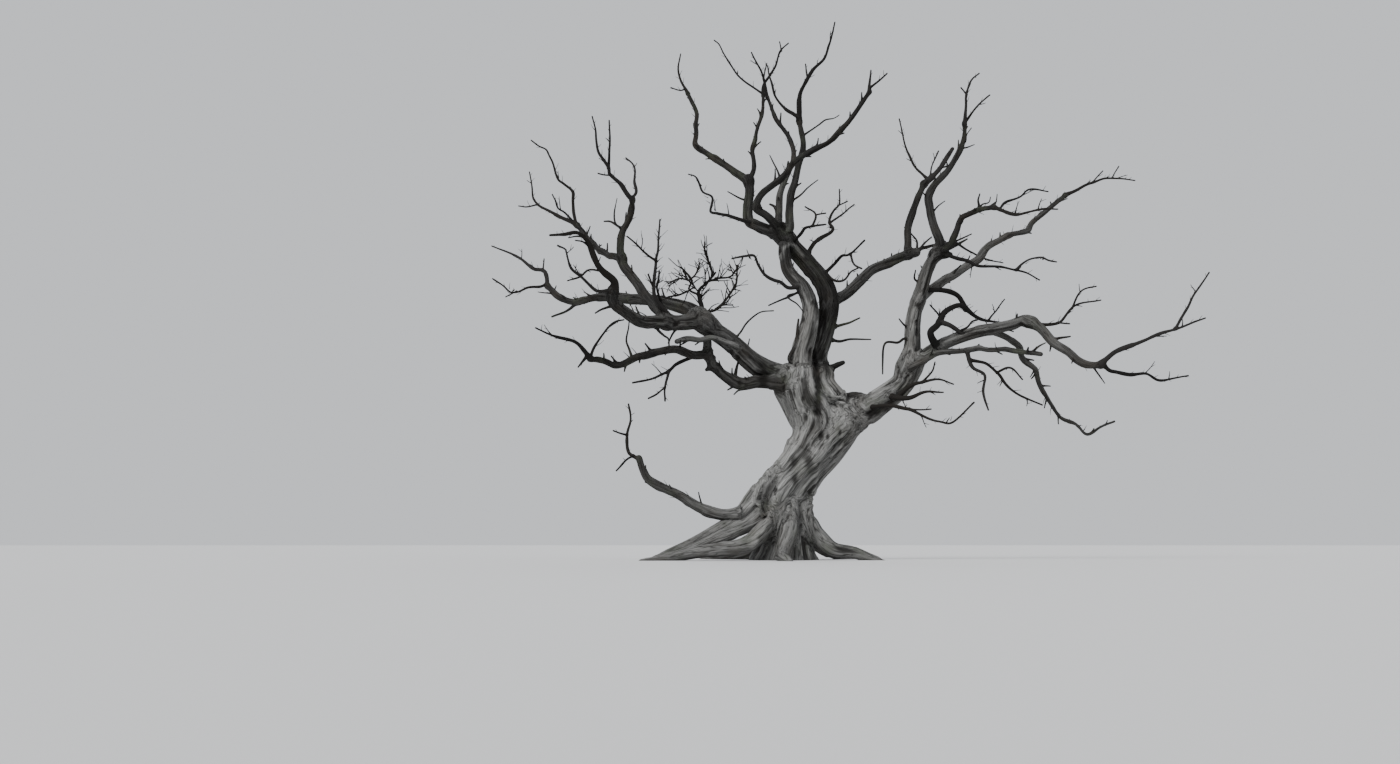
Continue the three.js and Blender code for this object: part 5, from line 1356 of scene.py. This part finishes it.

# %% Where the cracks, grooves and pale ridges are
# The points of a line, its half width, how far it stands out, and how much more bleached it is; a negative
# share is painted shade
LINES = [
    # Painted shade: the groove between the stems is darkened fully.
    ([(357, 2494), (403, 2250), (425, 2007), (410, 1765)], 46, -26, -1.0),
    ([(-21, 3639), (4, 3763), (78, 3825), (163, 3788), (235, 3676)], 20, 12, 0.5),
    ([(88, 3602), (171, 3317), (350, 3009), (468, 2702)], 22, 6, 0.25),
    ([(410, 1765), (443, 1428), (379, 1068), (256, 710)], 30, -12, -0.3),
    ([(545, 1995), (580, 1898), (676, 1826), (773, 1874)], 14, -12, -0.5),
    ([(35, 1380), (190, 1356), (310, 1284), (369, 1236)], 11, -7, -0.4),
    ([(683, 1428), (622, 1380), (525, 1284), (404, 1140)], 20, -16, -0.5),
    ([(796, 1801), (917, 1886), (1063, 1995)], 12, -8, -0.35),
    ([(1257, 2056), (1367, 2129)], 14, -9, -0.4),
    ([(785, 1862), (819, 1765), (866, 1620)], 14, -9, -0.35),
    ([(-112, 972), (-197, 805), (-245, 651), (-246, 520)], 45, -40, -0.5),
    ([(184, 651), (195, 473), (181, 295)], 30, -12, -0.3),
    ([(357, 2494), (432, 2702), (446, 2910), (437, 3132)], 22, -10, -0.4),
    ([(-140, 2250), (-320, 2372), (-501, 2518)], 15, -8, -0.3),
    ([(73, 1669), (27, 1910), (4, 2153)], 9, -6, -0.25),
    ([(246, 2177), (305, 2056), (328, 1935)], 14, 7, 0.35),
    ([(154, 1368), (32, 1068), (-66, 770), (-199, 473), (-391, 177)], 40, 30, 0.3),
    ([(453, 1284), (379, 1068), (341, 829), (315, 651)], 38, 30, 0.3),
    ([(71, 1428), (-111, 1164), (-268, 889), (-389, 651), (-592, 532)], 38, 26, 0.25),
    ([(706, 1344), (598, 1332), (513, 1260), (428, 1164)], 16, 8, 0.3),
    ([(569, 1995), (654, 2032), (750, 1947)], 48, 13, 0.4),
    ([(1012, 1777), (1182, 1862), (1374, 1862)], 15, 8, 0.25),
    ([(-104, 2202), (-321, 2299), (-525, 2445), (-743, 2616)], 18, 9, 0.3),
    ([(1048, 1753), (1193, 1814), (1300, 1850)], 50, -36, -1.0),
]
print("lines:", len(LINES))


# %% The marks' height and tone
# The back's marks are the front's, moved across and up by this
BACK_SHIFT = (-130, 250)
# The marks' edges stray by up to half of this, in waves of this size, with these shifts across and up
MARK_STRAY, STRAY_SIZE, STRAY_SHIFTS = 26, 38, (5.5, 31.5)
KNOT_LENGTH = 1.9
# A knot's rim: its height as a share of the depth, its place and its width as shares of the knot's size
RIM_HEIGHT, RIM_PLACE, RIM_WIDTH = 0.35, 1.5, 0.45
# Marks fade in from wood that faces a little away to wood that faces the viewer
FACING = (-0.1, 0.35)


def seen_from_front(points):
    """Across and up where the line of sight to each point meets the upright plane through the origin."""
    share = EYE[1] / (EYE[1] - points[:, 1])
    return EYE[[0, 2]] + (points[:, [0, 2]] - EYE[[0, 2]]) * share[:, None]


def off_line(places, corners):
    """The distance from a line of straight pieces."""
    nearest = np.full(len(places), np.inf)
    for start, end in zip(corners[:-1], corners[1:]):
        along = end - start
        share = np.clip((places - start) @ along / (along @ along), 0, 1)
        nearest = np.minimum(nearest, np.linalg.norm(places - start - share[:, None] * along, axis=1))
    return nearest


def marks(points, out):
    """A knot sinks by depth * exp(-(distance / size)^2) inside a low rim, and its pit is darkened as painted
    shade.
    A line rises or sinks by the same bell over its half width. The back has the same marks, shifted, so that
    no side is bare."""
    rise, tone, pit_shade = np.zeros((3, len(points)))
    wander = np.stack([lattice_noise(points / STRAY_SIZE + shift) - 0.5 for shift in STRAY_SHIFTS], axis=1)
    front = seen_from_front(points) + MARK_STRAY * wander
    for facing, shift in ((-out[:, 1], (0, 0)), (out[:, 1], BACK_SHIFT)):
        shown = smoothstep(facing, *FACING)
        places = front - shift
        for across, up, size, depth in KNOTS:
            away = np.hypot(places[:, 0] - across, (places[:, 1] - up) / KNOT_LENGTH) / size
            bell = np.exp(-(away**2))
            rise -= shown * depth * (bell - RIM_HEIGHT * np.exp(-(((away - RIM_PLACE) / RIM_WIDTH) ** 2)))
            # Painted shade: the knot's pit darkens the wood through the hollow mask.
            pit_shade = np.maximum(pit_shade, shown * bell)
        for corners, width, height, bleach in LINES:
            bell = np.exp(-((off_line(places, np.array(corners, float)) / width) ** 2))
            rise += shown * height * bell
            # A negative bleach darkens the groove and the cracks as painted shade.
            tone += shown * bleach * bell
    return rise, tone, pit_shade


in_groove = marks(np.array([[425.0, 0.0, 2007.0]]), np.array([[0, -1.0, 0]]))[0]
print("the groove between the stems stands out by", in_groove.round(1), "mm")

# %% All that dresses a point
# Stouter limbs carry marks
MARKED_GIRTH = 110
# The bleaching of wood that faces sideways, and how much is added on an upper side and taken off a lower
# side: painted light from above and painted shade below
PAINTED_TOP_LIGHT = (0.82, 0.3)


def dressed(points, out, grain, radius, marked):
    """Moves each point out by the relief and the marks. The upper side is painted paler and the lower side
    darker: painted light from above and painted shade below.
    """
    # Painted light and shade: the bleaching rises on wood that faces up and falls on wood that faces down.
    bleached = grain[:, 3] * (PAINTED_TOP_LIGHT[0] + PAINTED_TOP_LIGHT[1] * out[:, 2])
    grain = wound(grain)
    height, hollow = relief(grain, radius)
    if marked:
        rise, tone, pit_shade = marks(points, out)
        # The knots' pits darken the hollow mask as painted shade.
        height, bleached, hollow = height + rise, bleached + tone, hollow * (1 - pit_shade)
    return points + out * height[:, None], grain, np.clip(bleached, 0, 1), hollow


# The shares for an upper and a lower side hold painted light above and painted shade below.
print("bleaching of an upper and a lower side:", round(sum(PAINTED_TOP_LIGHT), 2), round(PAINTED_TOP_LIGHT[0] - PAINTED_TOP_LIGHT[1], 2))

# %% [markdown]
# ## From grids to meshes
#
# Each limb becomes a grid of rings by sides. Its end is closed by a blunt point and its foot by a single
# point inside the carrier, so no tube is open. All tubes of a node go into one mesh.

# %% A limb's grid
# The rings past the tip: how far out they stand and how wide they are, in half girths of the tip
END_RINGS = [(0.35, 0.82), (0.6, 0.45)]
BLUNT_END = 0.7
DOME = 30


def grid_faces(rings, sides, first):
    """Quads between neighbouring rings, and fans from the two pole points to the first and last ring."""
    ring, side = np.meshgrid(np.arange(rings - 1), np.arange(sides), indexing="ij")
    after = (side + 1) % sides
    quads = np.stack([ring * sides + side, ring * sides + after, (ring + 1) * sides + after,
                      (ring + 1) * sides + side], axis=-1).reshape(-1, 4)
    here, then = np.arange(sides), (np.arange(sides) + 1) % sides
    foot_pole, tip_pole = np.full(sides, rings * sides), np.full(sides, rings * sides + 1)
    last = (rings - 1) * sides
    foot_fan = np.stack([foot_pole, then, here], axis=1)
    tip_fan = np.stack([tip_pole, last + here, last + then], axis=1)
    return quads + first, np.concatenate([foot_fan, tip_fan]) + first


def tube_points(limb, sides):
    """Ring i, side j stands at middle + radius * (across * cos a + side * sin a), with a = 2 pi j / sides.
    Rings past the tip shrink to the blunt point."""
    angle = 2 * np.pi * np.arange(sides) / sides
    radii = limb.radius(limb.shares)
    tip, heading = radii[-1], limb.headings[-1]
    middles = np.vstack([limb.middles] + [limb.middles[-1] + out * tip * heading for out, _ in END_RINGS])
    radii = np.concatenate([radii, [tip * size for _, size in END_RINGS]])
    acrosses = np.vstack([limb.acrosses] + [limb.acrosses[-1]] * len(END_RINGS))
    side_ways = np.vstack([limb.sides] + [limb.sides[-1]] * len(END_RINGS))
    turn = acrosses[:, None] * np.cos(angle)[:, None] + side_ways[:, None] * np.sin(angle)[:, None]
    points = middles[:, None] + radii[:, None, None] * turn
    poles = np.stack([limb.middles[0], limb.middles[-1] + BLUNT_END * tip * heading])
    return np.concatenate([points.reshape(-1, 3), poles]), len(radii)


def trunk_points(rings, sides):
    """Level rings from the ground to the fork, by the trunk's table and relief, with a low dome on top."""
    angle = 2 * np.pi * np.arange(sides) / sides
    height, angle = np.meshgrid(np.linspace(0, TRUNK_TOP, rings), angle, indexing="ij")
    across, half_width, half_depth = trunk_row(height)
    size = trunk_relief(angle, height)
    x, y = half_width * size * np.cos(angle), half_depth * size * np.sin(angle)
    points = np.stack([across + x, TRUNK_BACK + y, height], axis=-1)
    poles = np.array([[TRUNK_RINGS[0, 1], TRUNK_BACK, 0], [TRUNK_RINGS[-1, 1], TRUNK_BACK, TRUNK_TOP + DOME]])
    return np.concatenate([points.reshape(-1, 3), poles])


print("quads and triangles of a small grid:", [len(faces) for faces in grid_faces(4, 6, 0)])

# %% A mesh from many grids
class Wood:
    """Collects grids with their grain, bleaching and hollows, and makes one mesh of them."""

    def __init__(self):
        self.points, self.grain, self.bleached, self.hollow = [], [], [], []
        self.faces, self.looks = [], []
        self.count = 0

    def add(self, rings, sides, points, grain, bleached, hollow, look=0):
        for faces in grid_faces(rings, sides, self.count):
            self.faces.append(faces)
            self.looks.append(np.full(len(faces), look))
        self.points.append(points)
        self.grain.append(grain)
        self.bleached.append(bleached)
        self.hollow.append(hollow)
        self.count += len(points)

    def mesh(self, name):
        """Puts the arrays into a mesh in metres, with the grain, bleaching and hollows as attributes."""
        points = np.concatenate(self.points) * MM
        points[:, 2] = np.maximum(points[:, 2], 0)
        loops, starts, at = [], [], 0
        for faces in self.faces:
            corners = faces.shape[1]
            loops.append(faces.ravel())
            starts.append(at + corners * np.arange(len(faces)))
            at += faces.size
        starts = np.concatenate(starts)
        mesh = bpy.data.meshes.new(name)
        mesh.vertices.add(len(points))
        mesh.vertices.foreach_set("co", points.astype(np.float32).ravel())
        mesh.loops.add(at)
        mesh.loops.foreach_set("vertex_index", np.concatenate(loops).astype(np.int32))
        mesh.polygons.add(len(starts))
        mesh.polygons.foreach_set("loop_start", starts.astype(np.int32))
        mesh.polygons.foreach_set("material_index", np.concatenate(self.looks).astype(np.int32))
        mesh.update(calc_edges=True)
        mesh.shade_smooth()
        grain = mesh.attributes.new("grain", "FLOAT_VECTOR", "POINT")
        grain.data.foreach_set("vector", (np.concatenate(self.grain) * MM).astype(np.float32).ravel())
        # The bleached attribute also carries painted light above, and painted shade below and along the
        # groove and cracks. The hollow attribute carries painted shade in hollows and knot pits.
        for title, values in (("bleached", self.bleached), ("hollow", self.hollow)):
            attribute = mesh.attributes.new(title, "FLOAT", "POINT")
            attribute.data.foreach_set("value", np.concatenate(values).astype(np.float32))
        return mesh


# %% One limb's tube
def sides_for(limb, cell=14.0, least=5, most=96):
    """As many sides as cells of that size fit round the foot, from the least to the most."""
    return int(np.clip(math.ceil(math.pi * limb.foot / cell), least, most))


def add_limb(wood, limb, look=0):
    """One tube: its grid, moved onto the blended skin, then raised by the relief."""
    sides = sides_for(limb)
    points, rings = tube_points(limb, sides)
    if limb.foot > BLENDED_GIRTH:
        points, out, grain, radius = settled(limb, points, neighbours_of(limb))
    else:
        _, out, grain, radius = limb_field(limb, points)
    wood.add(rings, sides, *dressed(points, out, grain, radius, limb.foot > MARKED_GIRTH), look)


print("sides round the right bough:", sides_for(main_right))

# %% [markdown]
# ## The finish
#
# All wood here is the same stuff at different ages: the trunk and the oldest limbs are bleached silver,
# thin limbs are darker. One material could do it all, but the pale wood, the dark wood and the twigs are
# separate finishes in the record. So the effects they share are node groups, used with other values.

# %% Helpers for node trees
def node(tree, kind, place, **settings):
    """A new node with its settings and the values of its inputs."""
    made = tree.nodes.new(kind)
    made.location = place
    for key, value in settings.items():
        if key == "inputs":
            for name, amount in value.items():
                made.inputs[name].default_value = amount
        else:
            setattr(made, key, value)
    return made


def new_group(name, inputs, outputs):
    """An empty group with the named sockets: (name, kind, value)."""
    group = bpy.data.node_groups.new(name, "ShaderNodeTree")
    for title, kind, value in inputs:
        socket = group.interface.new_socket(title, in_out="INPUT", socket_type=kind)
        if value is not None:
            socket.default_value = value
    for title, kind in outputs:
        group.interface.new_socket(title, in_out="OUTPUT", socket_type=kind)
    return group, group.nodes.new("NodeGroupInput"), group.nodes.new("NodeGroupOutput")


def ranged(tree, place, value, low, high, to_low=0.0, to_high=1.0):
    """A value taken smoothly from one range to another."""
    made = node(tree, "ShaderNodeMapRange", place, interpolation_type="SMOOTHSTEP",
                inputs={"From Min": low, "From Max": high, "To Min": to_low, "To Max": to_high})
    tree.links.new(value, made.inputs["Value"])
    return made.outputs["Result"]


def noise_at(tree, place, where, **inputs):
    """A noise, read at the places that a socket gives."""
    made = node(tree, "ShaderNodeTexNoise", place, inputs=inputs)
    tree.links.new(where, made.inputs["Vector"])
    return made.outputs["Fac"]


def part_of(tree, place, value, share):
    """A value times a share."""
    made = node(tree, "ShaderNodeMath", place, operation="MULTIPLY", inputs={1: share})
    tree.links.new(value, made.inputs[0])
    return made.outputs[0]

# %% Long grain: streaks, fine cracks and their height
def make_long_grain():
    """Noises that are stretched lengthways by shrinking the grain's third axis: streaks = a mix of a coarse
    and a fine one, cracks = where a third one is close to its middle."""
    group, given, result = new_group(
        "long_grain",
        [("Grain", "NodeSocketVector", None), ("Stretch", "NodeSocketFloat", 0.07),
         ("Fineness", "NodeSocketFloat", 1.0)],
        [("Streak", "NodeSocketFloat"), ("Crack", "NodeSocketFloat"), ("Height", "NodeSocketFloat")],
    )
    link = group.links.new
    parts = node(group, "ShaderNodeSeparateXYZ", (-900, 0))
    longer = node(group, "ShaderNodeMath", (-700, -120), operation="MULTIPLY")
    joined = node(group, "ShaderNodeCombineXYZ", (-520, 0))
    sized = node(group, "ShaderNodeVectorMath", (-340, 0), operation="SCALE")
    link(given.outputs["Grain"], parts.inputs[0])
    link(parts.outputs["X"], joined.inputs["X"])
    link(parts.outputs["Y"], joined.inputs["Y"])
    link(parts.outputs["Z"], longer.inputs[0])
    link(given.outputs["Stretch"], longer.inputs[1])
    link(longer.outputs[0], joined.inputs["Z"])
    link(joined.outputs[0], sized.inputs[0])
    link(given.outputs["Fineness"], sized.inputs["Scale"])
    places = sized.outputs[0]
    both = node(group, "ShaderNodeMix", (80, 160), data_type="FLOAT", inputs={"Factor": 0.4})
    link(noise_at(group, (-140, 240), places, Scale=34.0, Detail=5.0, Roughness=0.62), both.inputs["A"])
    link(noise_at(group, (-140, 0), places, Scale=150.0, Detail=3.0, Roughness=0.6), both.inputs["B"])
    streak = ranged(group, (240, 160), both.outputs["Result"], 0.36, 0.66)
    off = node(group, "ShaderNodeMath", (80, -240), operation="SUBTRACT", inputs={1: 0.5})
    size = node(group, "ShaderNodeMath", (240, -240), operation="ABSOLUTE")
    link(noise_at(group, (-140, -240), places, Scale=26.0, Detail=2.0, Roughness=0.5), off.inputs[0])
    link(off.outputs[0], size.inputs[0])
    crack = ranged(group, (400, -240), size.outputs[0], 0.0, 0.03, 1.0, 0.0)
    depth = node(group, "ShaderNodeMath", (560, -120), operation="MULTIPLY_ADD", inputs={1: -0.7})
    link(crack, depth.inputs[0])
    link(streak, depth.inputs[2])
    link(streak, result.inputs["Streak"])
    link(crack, result.inputs["Crack"])
    link(depth.outputs[0], result.inputs["Height"])
    return group


long_grain = make_long_grain()
print("nodes in the long grain:", len(long_grain.nodes))

# %% Weather stains: green film and brown damp
# Each stain's output, its shift, and the range of the noise over which it fades in
STAINS = [("Green", 0.0, 0.5, 0.72), ("Brown", 9.0, 0.46, 0.7)]


def make_weather_stain():
    """Two slow noises on Object coordinates. Each becomes a soft mask by a narrow range of its values."""
    group, given, result = new_group(
        "weather_stain",
        [("Place", "NodeSocketVector", None), ("Size", "NodeSocketFloat", 3.0)],
        [("Green", "NodeSocketFloat"), ("Brown", "NodeSocketFloat")],
    )
    for row, (title, shift, low, high) in enumerate(STAINS):
        shifted = node(group, "ShaderNodeVectorMath", (-500, -270 * row), operation="ADD",
                       inputs={1: (shift, shift, shift)})
        group.links.new(given.outputs["Place"], shifted.inputs[0])
        noise = noise_at(group, (-300, -270 * row), shifted.outputs[0], Detail=4.0, Roughness=0.6)
        group.links.new(given.outputs["Size"], noise.node.inputs["Scale"])
        group.links.new(ranged(group, (-60, -270 * row), noise, low, high), result.inputs[title])
    return group


weather_stain = make_weather_stain()
print("nodes in the weather stain:", len(weather_stain.nodes))

# %% Colours that mix
def mixed(tree, place, factor, a, b):
    """A colour mix: factor, a and b are sockets, colours or numbers."""
    mix = node(tree, "ShaderNodeMix", place, data_type="RGBA", blend_type="MIX")
    for socket, value in ((mix.inputs[0], factor), (mix.inputs[6], a), (mix.inputs[7], b)):
        if isinstance(value, bpy.types.NodeSocket):
            tree.links.new(value, socket)
        elif isinstance(value, (int, float)):
            socket.default_value = value
        else:
            socket.default_value = (*value, 1)
    return mix.outputs[2]


def wood_look(name):
    """A new material with its node tree and its shader."""
    material = bpy.data.materials.new(name)
    material.use_nodes = True
    return material, material.node_tree, material.node_tree.nodes["Principled BSDF"]


# %% The wood's own material
PALE_WOOD, PALE_STREAK = (0.135, 0.134, 0.128), (0.35, 0.348, 0.335)
DARK_WOOD, DARK_STREAK = (0.008, 0.0076, 0.0073), (0.028, 0.0267, 0.0252)
# CREVICE_SHADE is painted shade: the near-black colour laid into hollows and cracks.
CREVICE_SHADE, GREEN_FILM, BROWN_DAMP = (0.007, 0.006, 0.005), (0.062, 0.072, 0.048), (0.05, 0.04, 0.03)
# How much of the wood each of these covers at most; the cracks' and the hollows' shares are painted shade
GREEN_SHARE, BROWN_SHARE, CRACK_SHADE_SHARE, HOLLOW_SHADE_SHARE = 0.42, 0.3, 0.7, 0.85
HOLLOW_SHADE_EDGE = (0.05, 0.8)
# The roughness between streaks and on them
STREAK_EDGE, STREAK_ROUGHNESS = (0.2, 0.8), (0.92, 0.74)
GRAIN_HEIGHT = 0.006


def wood_material(name, bump, gloss):
    """Dark to pale by the bleaching, which also carries painted light and shade; streaks and cracks along the
    grain; hollows and cracks darkened as painted shade.
    """
    material, tree, shader = wood_look(name)
    link = tree.links.new
    grain = node(tree, "ShaderNodeAttribute", (-1500, 200), attribute_name="grain")
    bleached = node(tree, "ShaderNodeAttribute", (-1500, -100), attribute_name="bleached")
    hollow = node(tree, "ShaderNodeAttribute", (-1500, -400), attribute_name="hollow")
    place = node(tree, "ShaderNodeTexCoord", (-1500, 500))
    long = node(tree, "ShaderNodeGroup", (-1200, 200), node_tree=long_grain)
    stain = node(tree, "ShaderNodeGroup", (-1200, 500), node_tree=weather_stain)
    link(grain.outputs["Vector"], long.inputs["Grain"])
    link(place.outputs["Object"], stain.inputs["Place"])
    pale = mixed(tree, (-900, 300), long.outputs["Streak"], PALE_WOOD, PALE_STREAK)
    dark = mixed(tree, (-900, 0), long.outputs["Streak"], DARK_WOOD, DARK_STREAK)
    colour = mixed(tree, (-700, 150), bleached.outputs["Fac"], dark, pale)
    green = part_of(tree, (-700, 500), stain.outputs["Green"], GREEN_SHARE)
    colour = mixed(tree, (-500, 300), green, colour, GREEN_FILM)
    brown = part_of(tree, (-700, 350), stain.outputs["Brown"], BROWN_SHARE)
    colour = mixed(tree, (-320, 300), brown, colour, BROWN_DAMP)
    # Painted shade: hollows are darkened towards near black.
    hollow_shade = ranged(tree, (-700, -300), hollow.outputs["Fac"], *HOLLOW_SHADE_EDGE, HOLLOW_SHADE_SHARE, 0.0)
    colour = mixed(tree, (-140, 200), hollow_shade, colour, CREVICE_SHADE)
    # Painted shade: fine cracks are darkened towards near black.
    crack = part_of(tree, (-500, -100), long.outputs["Crack"], CRACK_SHADE_SHARE)
    colour = mixed(tree, (40, 200), crack, colour, CREVICE_SHADE)
    link(colour, shader.inputs["Base Color"])
    rough = ranged(tree, (40, -60), long.outputs["Streak"], *STREAK_EDGE, *STREAK_ROUGHNESS)
    link(rough, shader.inputs["Roughness"])
    shader.inputs["Specular IOR Level"].default_value = gloss
    raised = node(tree, "ShaderNodeBump", (40, -300), inputs={"Strength": bump, "Distance": GRAIN_HEIGHT})
    link(long.outputs["Height"], raised.inputs["Height"])
    link(raised.outputs["Normal"], shader.inputs["Normal"])
    return material


weathered_wood = wood_material("weathered_wood", bump=0.9, gloss=0.22)
dark_wood = wood_material("dark_wood", bump=0.8, gloss=0.1)
print("nodes in the weathered wood:", len(weathered_wood.node_tree.nodes))

# %% The twigs' plain tints
TWIG_TINTS = {
    "twig_brown": (0.016, 0.0142, 0.0125), "twig_grey": (0.022, 0.0205, 0.0195),
    "twig_dark": (0.011, 0.0102, 0.0096),
}
TWIG_GLOSS = 0.1
TWIG_EDGE, TWIG_ROUGHNESS = (0.3, 0.7), (0.95, 0.8)


def twig_material(name, tint):
    """A plain tint with a faint rough grain. The tints are dealt out by spray, so no pattern has to hold its
    place."""
    material, tree, shader = wood_look(name)
    place = node(tree, "ShaderNodeTexCoord", (-700, 0))
    noise = noise_at(tree, (-500, 0), place.outputs["Object"], Scale=60.0, Detail=3.0)
    raised = node(tree, "ShaderNodeBump", (-200, -200), inputs={"Strength": 0.4, "Distance": 0.002})
    tree.links.new(noise, raised.inputs["Height"])
    tree.links.new(raised.outputs["Normal"], shader.inputs["Normal"])
    rough = ranged(tree, (-200, 100), noise, *TWIG_EDGE, *TWIG_ROUGHNESS)
    tree.links.new(rough, shader.inputs["Roughness"])
    shader.inputs["Base Color"].default_value = (*tint, 1)
    shader.inputs["Specular IOR Level"].default_value = TWIG_GLOSS
    return material


twig_looks = [twig_material(name, tint) for name, tint in TWIG_TINTS.items()]
print("twig tints:", len(twig_looks))

# %% [markdown]
# ## The pieces
#
# The trunk with its roots, each bough with its spurs, and each twig mass become one piece each. A piece
# stands where its CAD node is and takes its name, so that anyone can find it again.

# %% Making a piece
def place_piece(wood, title, cad_node, materials):
    """A mesh object at the origin that rides on the only body and replaces its CAD node. The result is the
    number of its triangles."""
    mesh = wood.mesh(title)
    for material in materials:
        mesh.materials.append(material)
    piece = bpy.data.objects.new(title, mesh)
    bpy.context.scene.collection.objects.link(piece)
    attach(piece, "root")
    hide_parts(cad_node)
    return sum(face.loop_total - 2 for face in mesh.polygons)


slots = {part["node"]: part["material_slot"] for part in frame["record"]["subparts"]}
print("material slots:", sorted(set(slots.values())))

# %% The trunk and its roots
TRUNK_GRID = (244, 262)
# The relief fades in between these heights, so the cut at the ground stays flat
FLAT_FOOT = (0, 40)
trunk = Wood()
points, out, grain, radius = settled("trunk", trunk_points(*TRUNK_GRID), neighbours_of("trunk"))
flat = smoothstep(points[:, 2], *FLAT_FOOT)[:, None]
relieved, *finish = dressed(points, out, grain, radius, True)
trunk.add(*TRUNK_GRID, points + flat * (relieved - points), *finish)
for root in roots:
    add_limb(trunk, root)
print("trunk:", place_piece(trunk, "trunk_wood", "trunk", [weathered_wood]), "triangles")

# %% The boughs
total = 0
for row in BOUGHS:
    name = row["name"]
    wood = Wood()
    for limb in limbs[name] + fine[name]:
        add_limb(wood, limb)
    look = weathered_wood if slots[name] == "weathered_wood" else dark_wood
    total += place_piece(wood, name + "_wood", name, [look])
print("boughs:", total, "triangles")

# %% The twig masses
TINT_DRAW = 40


def tint_of(limb, name, leaders):
    """A spray is a leader with all that stands on it, and each spray draws one tint."""
    while limb not in leaders:
        limb = limb.carrier
    return int(len(twig_looks) * chance(seed_of(name), leaders.index(limb) + TINT_DRAW))


total = 0
for row in MASSES:
    name = row["name"]
    wood = Wood()
    leaders = limbs[name][: len(row["leaders"])]
    for limb in limbs[name] + fine[name]:
        add_limb(wood, limb, tint_of(limb, name, leaders))
    total += place_piece(wood, name + "_grown", name, twig_looks)
print("twigs:", total, "triangles")

# %% [markdown]
# ## Floor, light and camera
#
# The studio is plain: a pale floor and an even pale surround, a broad soft light from the upper left front,
# a weaker one from the right and one from behind. The camera stands low on the ground and looks up a little.

# %% The floor
FLOOR_REACH, FLOOR_SIDES = 250, 96
FLOOR_TINT, FLOOR_ROUGHNESS = (0.6, 0.6, 0.6), 0.95


floor_look = bpy.data.materials.new("pale_floor")
floor_look.use_nodes = True
floor_shader = floor_look.node_tree.nodes["Principled BSDF"]
floor_shader.inputs["Base Color"].default_value = (*FLOOR_TINT, 1)
floor_shader.inputs["Roughness"].default_value = FLOOR_ROUGHNESS

floor_mesh = bpy.data.meshes.new("floor")
turn = 2 * np.pi * np.arange(FLOOR_SIDES) / FLOOR_SIDES
rim = FLOOR_REACH * np.stack([np.cos(turn), np.sin(turn), np.zeros(FLOOR_SIDES)], axis=1)
floor_mesh.from_pydata(rim, [], [tuple(range(FLOOR_SIDES))])
floor_mesh.materials.append(floor_look)
floor = bpy.data.objects.new("floor", floor_mesh)
bpy.context.scene.collection.objects.link(floor)
print("the floor reaches", FLOOR_REACH, "m each way")

# %% The lights
SURROUND, SURROUND_STRENGTH = (0.78, 0.8, 0.83), 0.95
FORK, CROWN = (0.3, 0, 2.4), (0.3, 0, 3.0)
world = bpy.data.worlds.new("studio")
world.use_nodes = True
world.node_tree.nodes["Background"].inputs["Color"].default_value = (*SURROUND, 1)
world.node_tree.nodes["Background"].inputs["Strength"].default_value = SURROUND_STRENGTH
bpy.context.scene.world = world


def soft_light(name, place, target, spread, power):
    """A light that shines evenly from far away, as from a broad diffuser that fills the angle "spread". It
    looks along its own -Z, so it is turned from its place towards the target."""
    lamp = bpy.data.lights.new(name, "SUN")
    lamp.angle, lamp.energy = math.radians(spread), power
    light = bpy.data.objects.new(name, lamp)
    light.location = place
    toward = np.array(target, float) - np.array(place, float)
    light.rotation_mode = "QUATERNION"
    light.rotation_quaternion = Vector(toward).to_track_quat("-Z", "Y")
    bpy.context.scene.collection.objects.link(light)
    return light


lights = [
    soft_light("key_light", (-7.5, -8.5, 10.0), FORK, spread=32, power=2.9),
    soft_light("fill_light", (9.0, -6.0, 4.0), FORK, spread=60, power=0.6),
    soft_light("back_light", (2.0, 10.0, 8.0), CROWN, spread=45, power=1.0),
]
print("lights:", [light.name for light in lights])

# %% The camera
CAMERA_PITCH = 6.8
LENS, SENSOR = 35.0, 36.0
camera_data = bpy.data.cameras.new("camera")
camera_data.lens, camera_data.sensor_width = LENS, SENSOR
camera = bpy.data.objects.new("camera", camera_data)
camera.location = EYE * MM
camera.rotation_euler = (math.pi / 2 + math.radians(CAMERA_PITCH), 0, 0)
bpy.context.scene.collection.objects.link(camera)
bpy.context.scene.camera = camera
print("the camera looks up by", CAMERA_PITCH, "degrees")
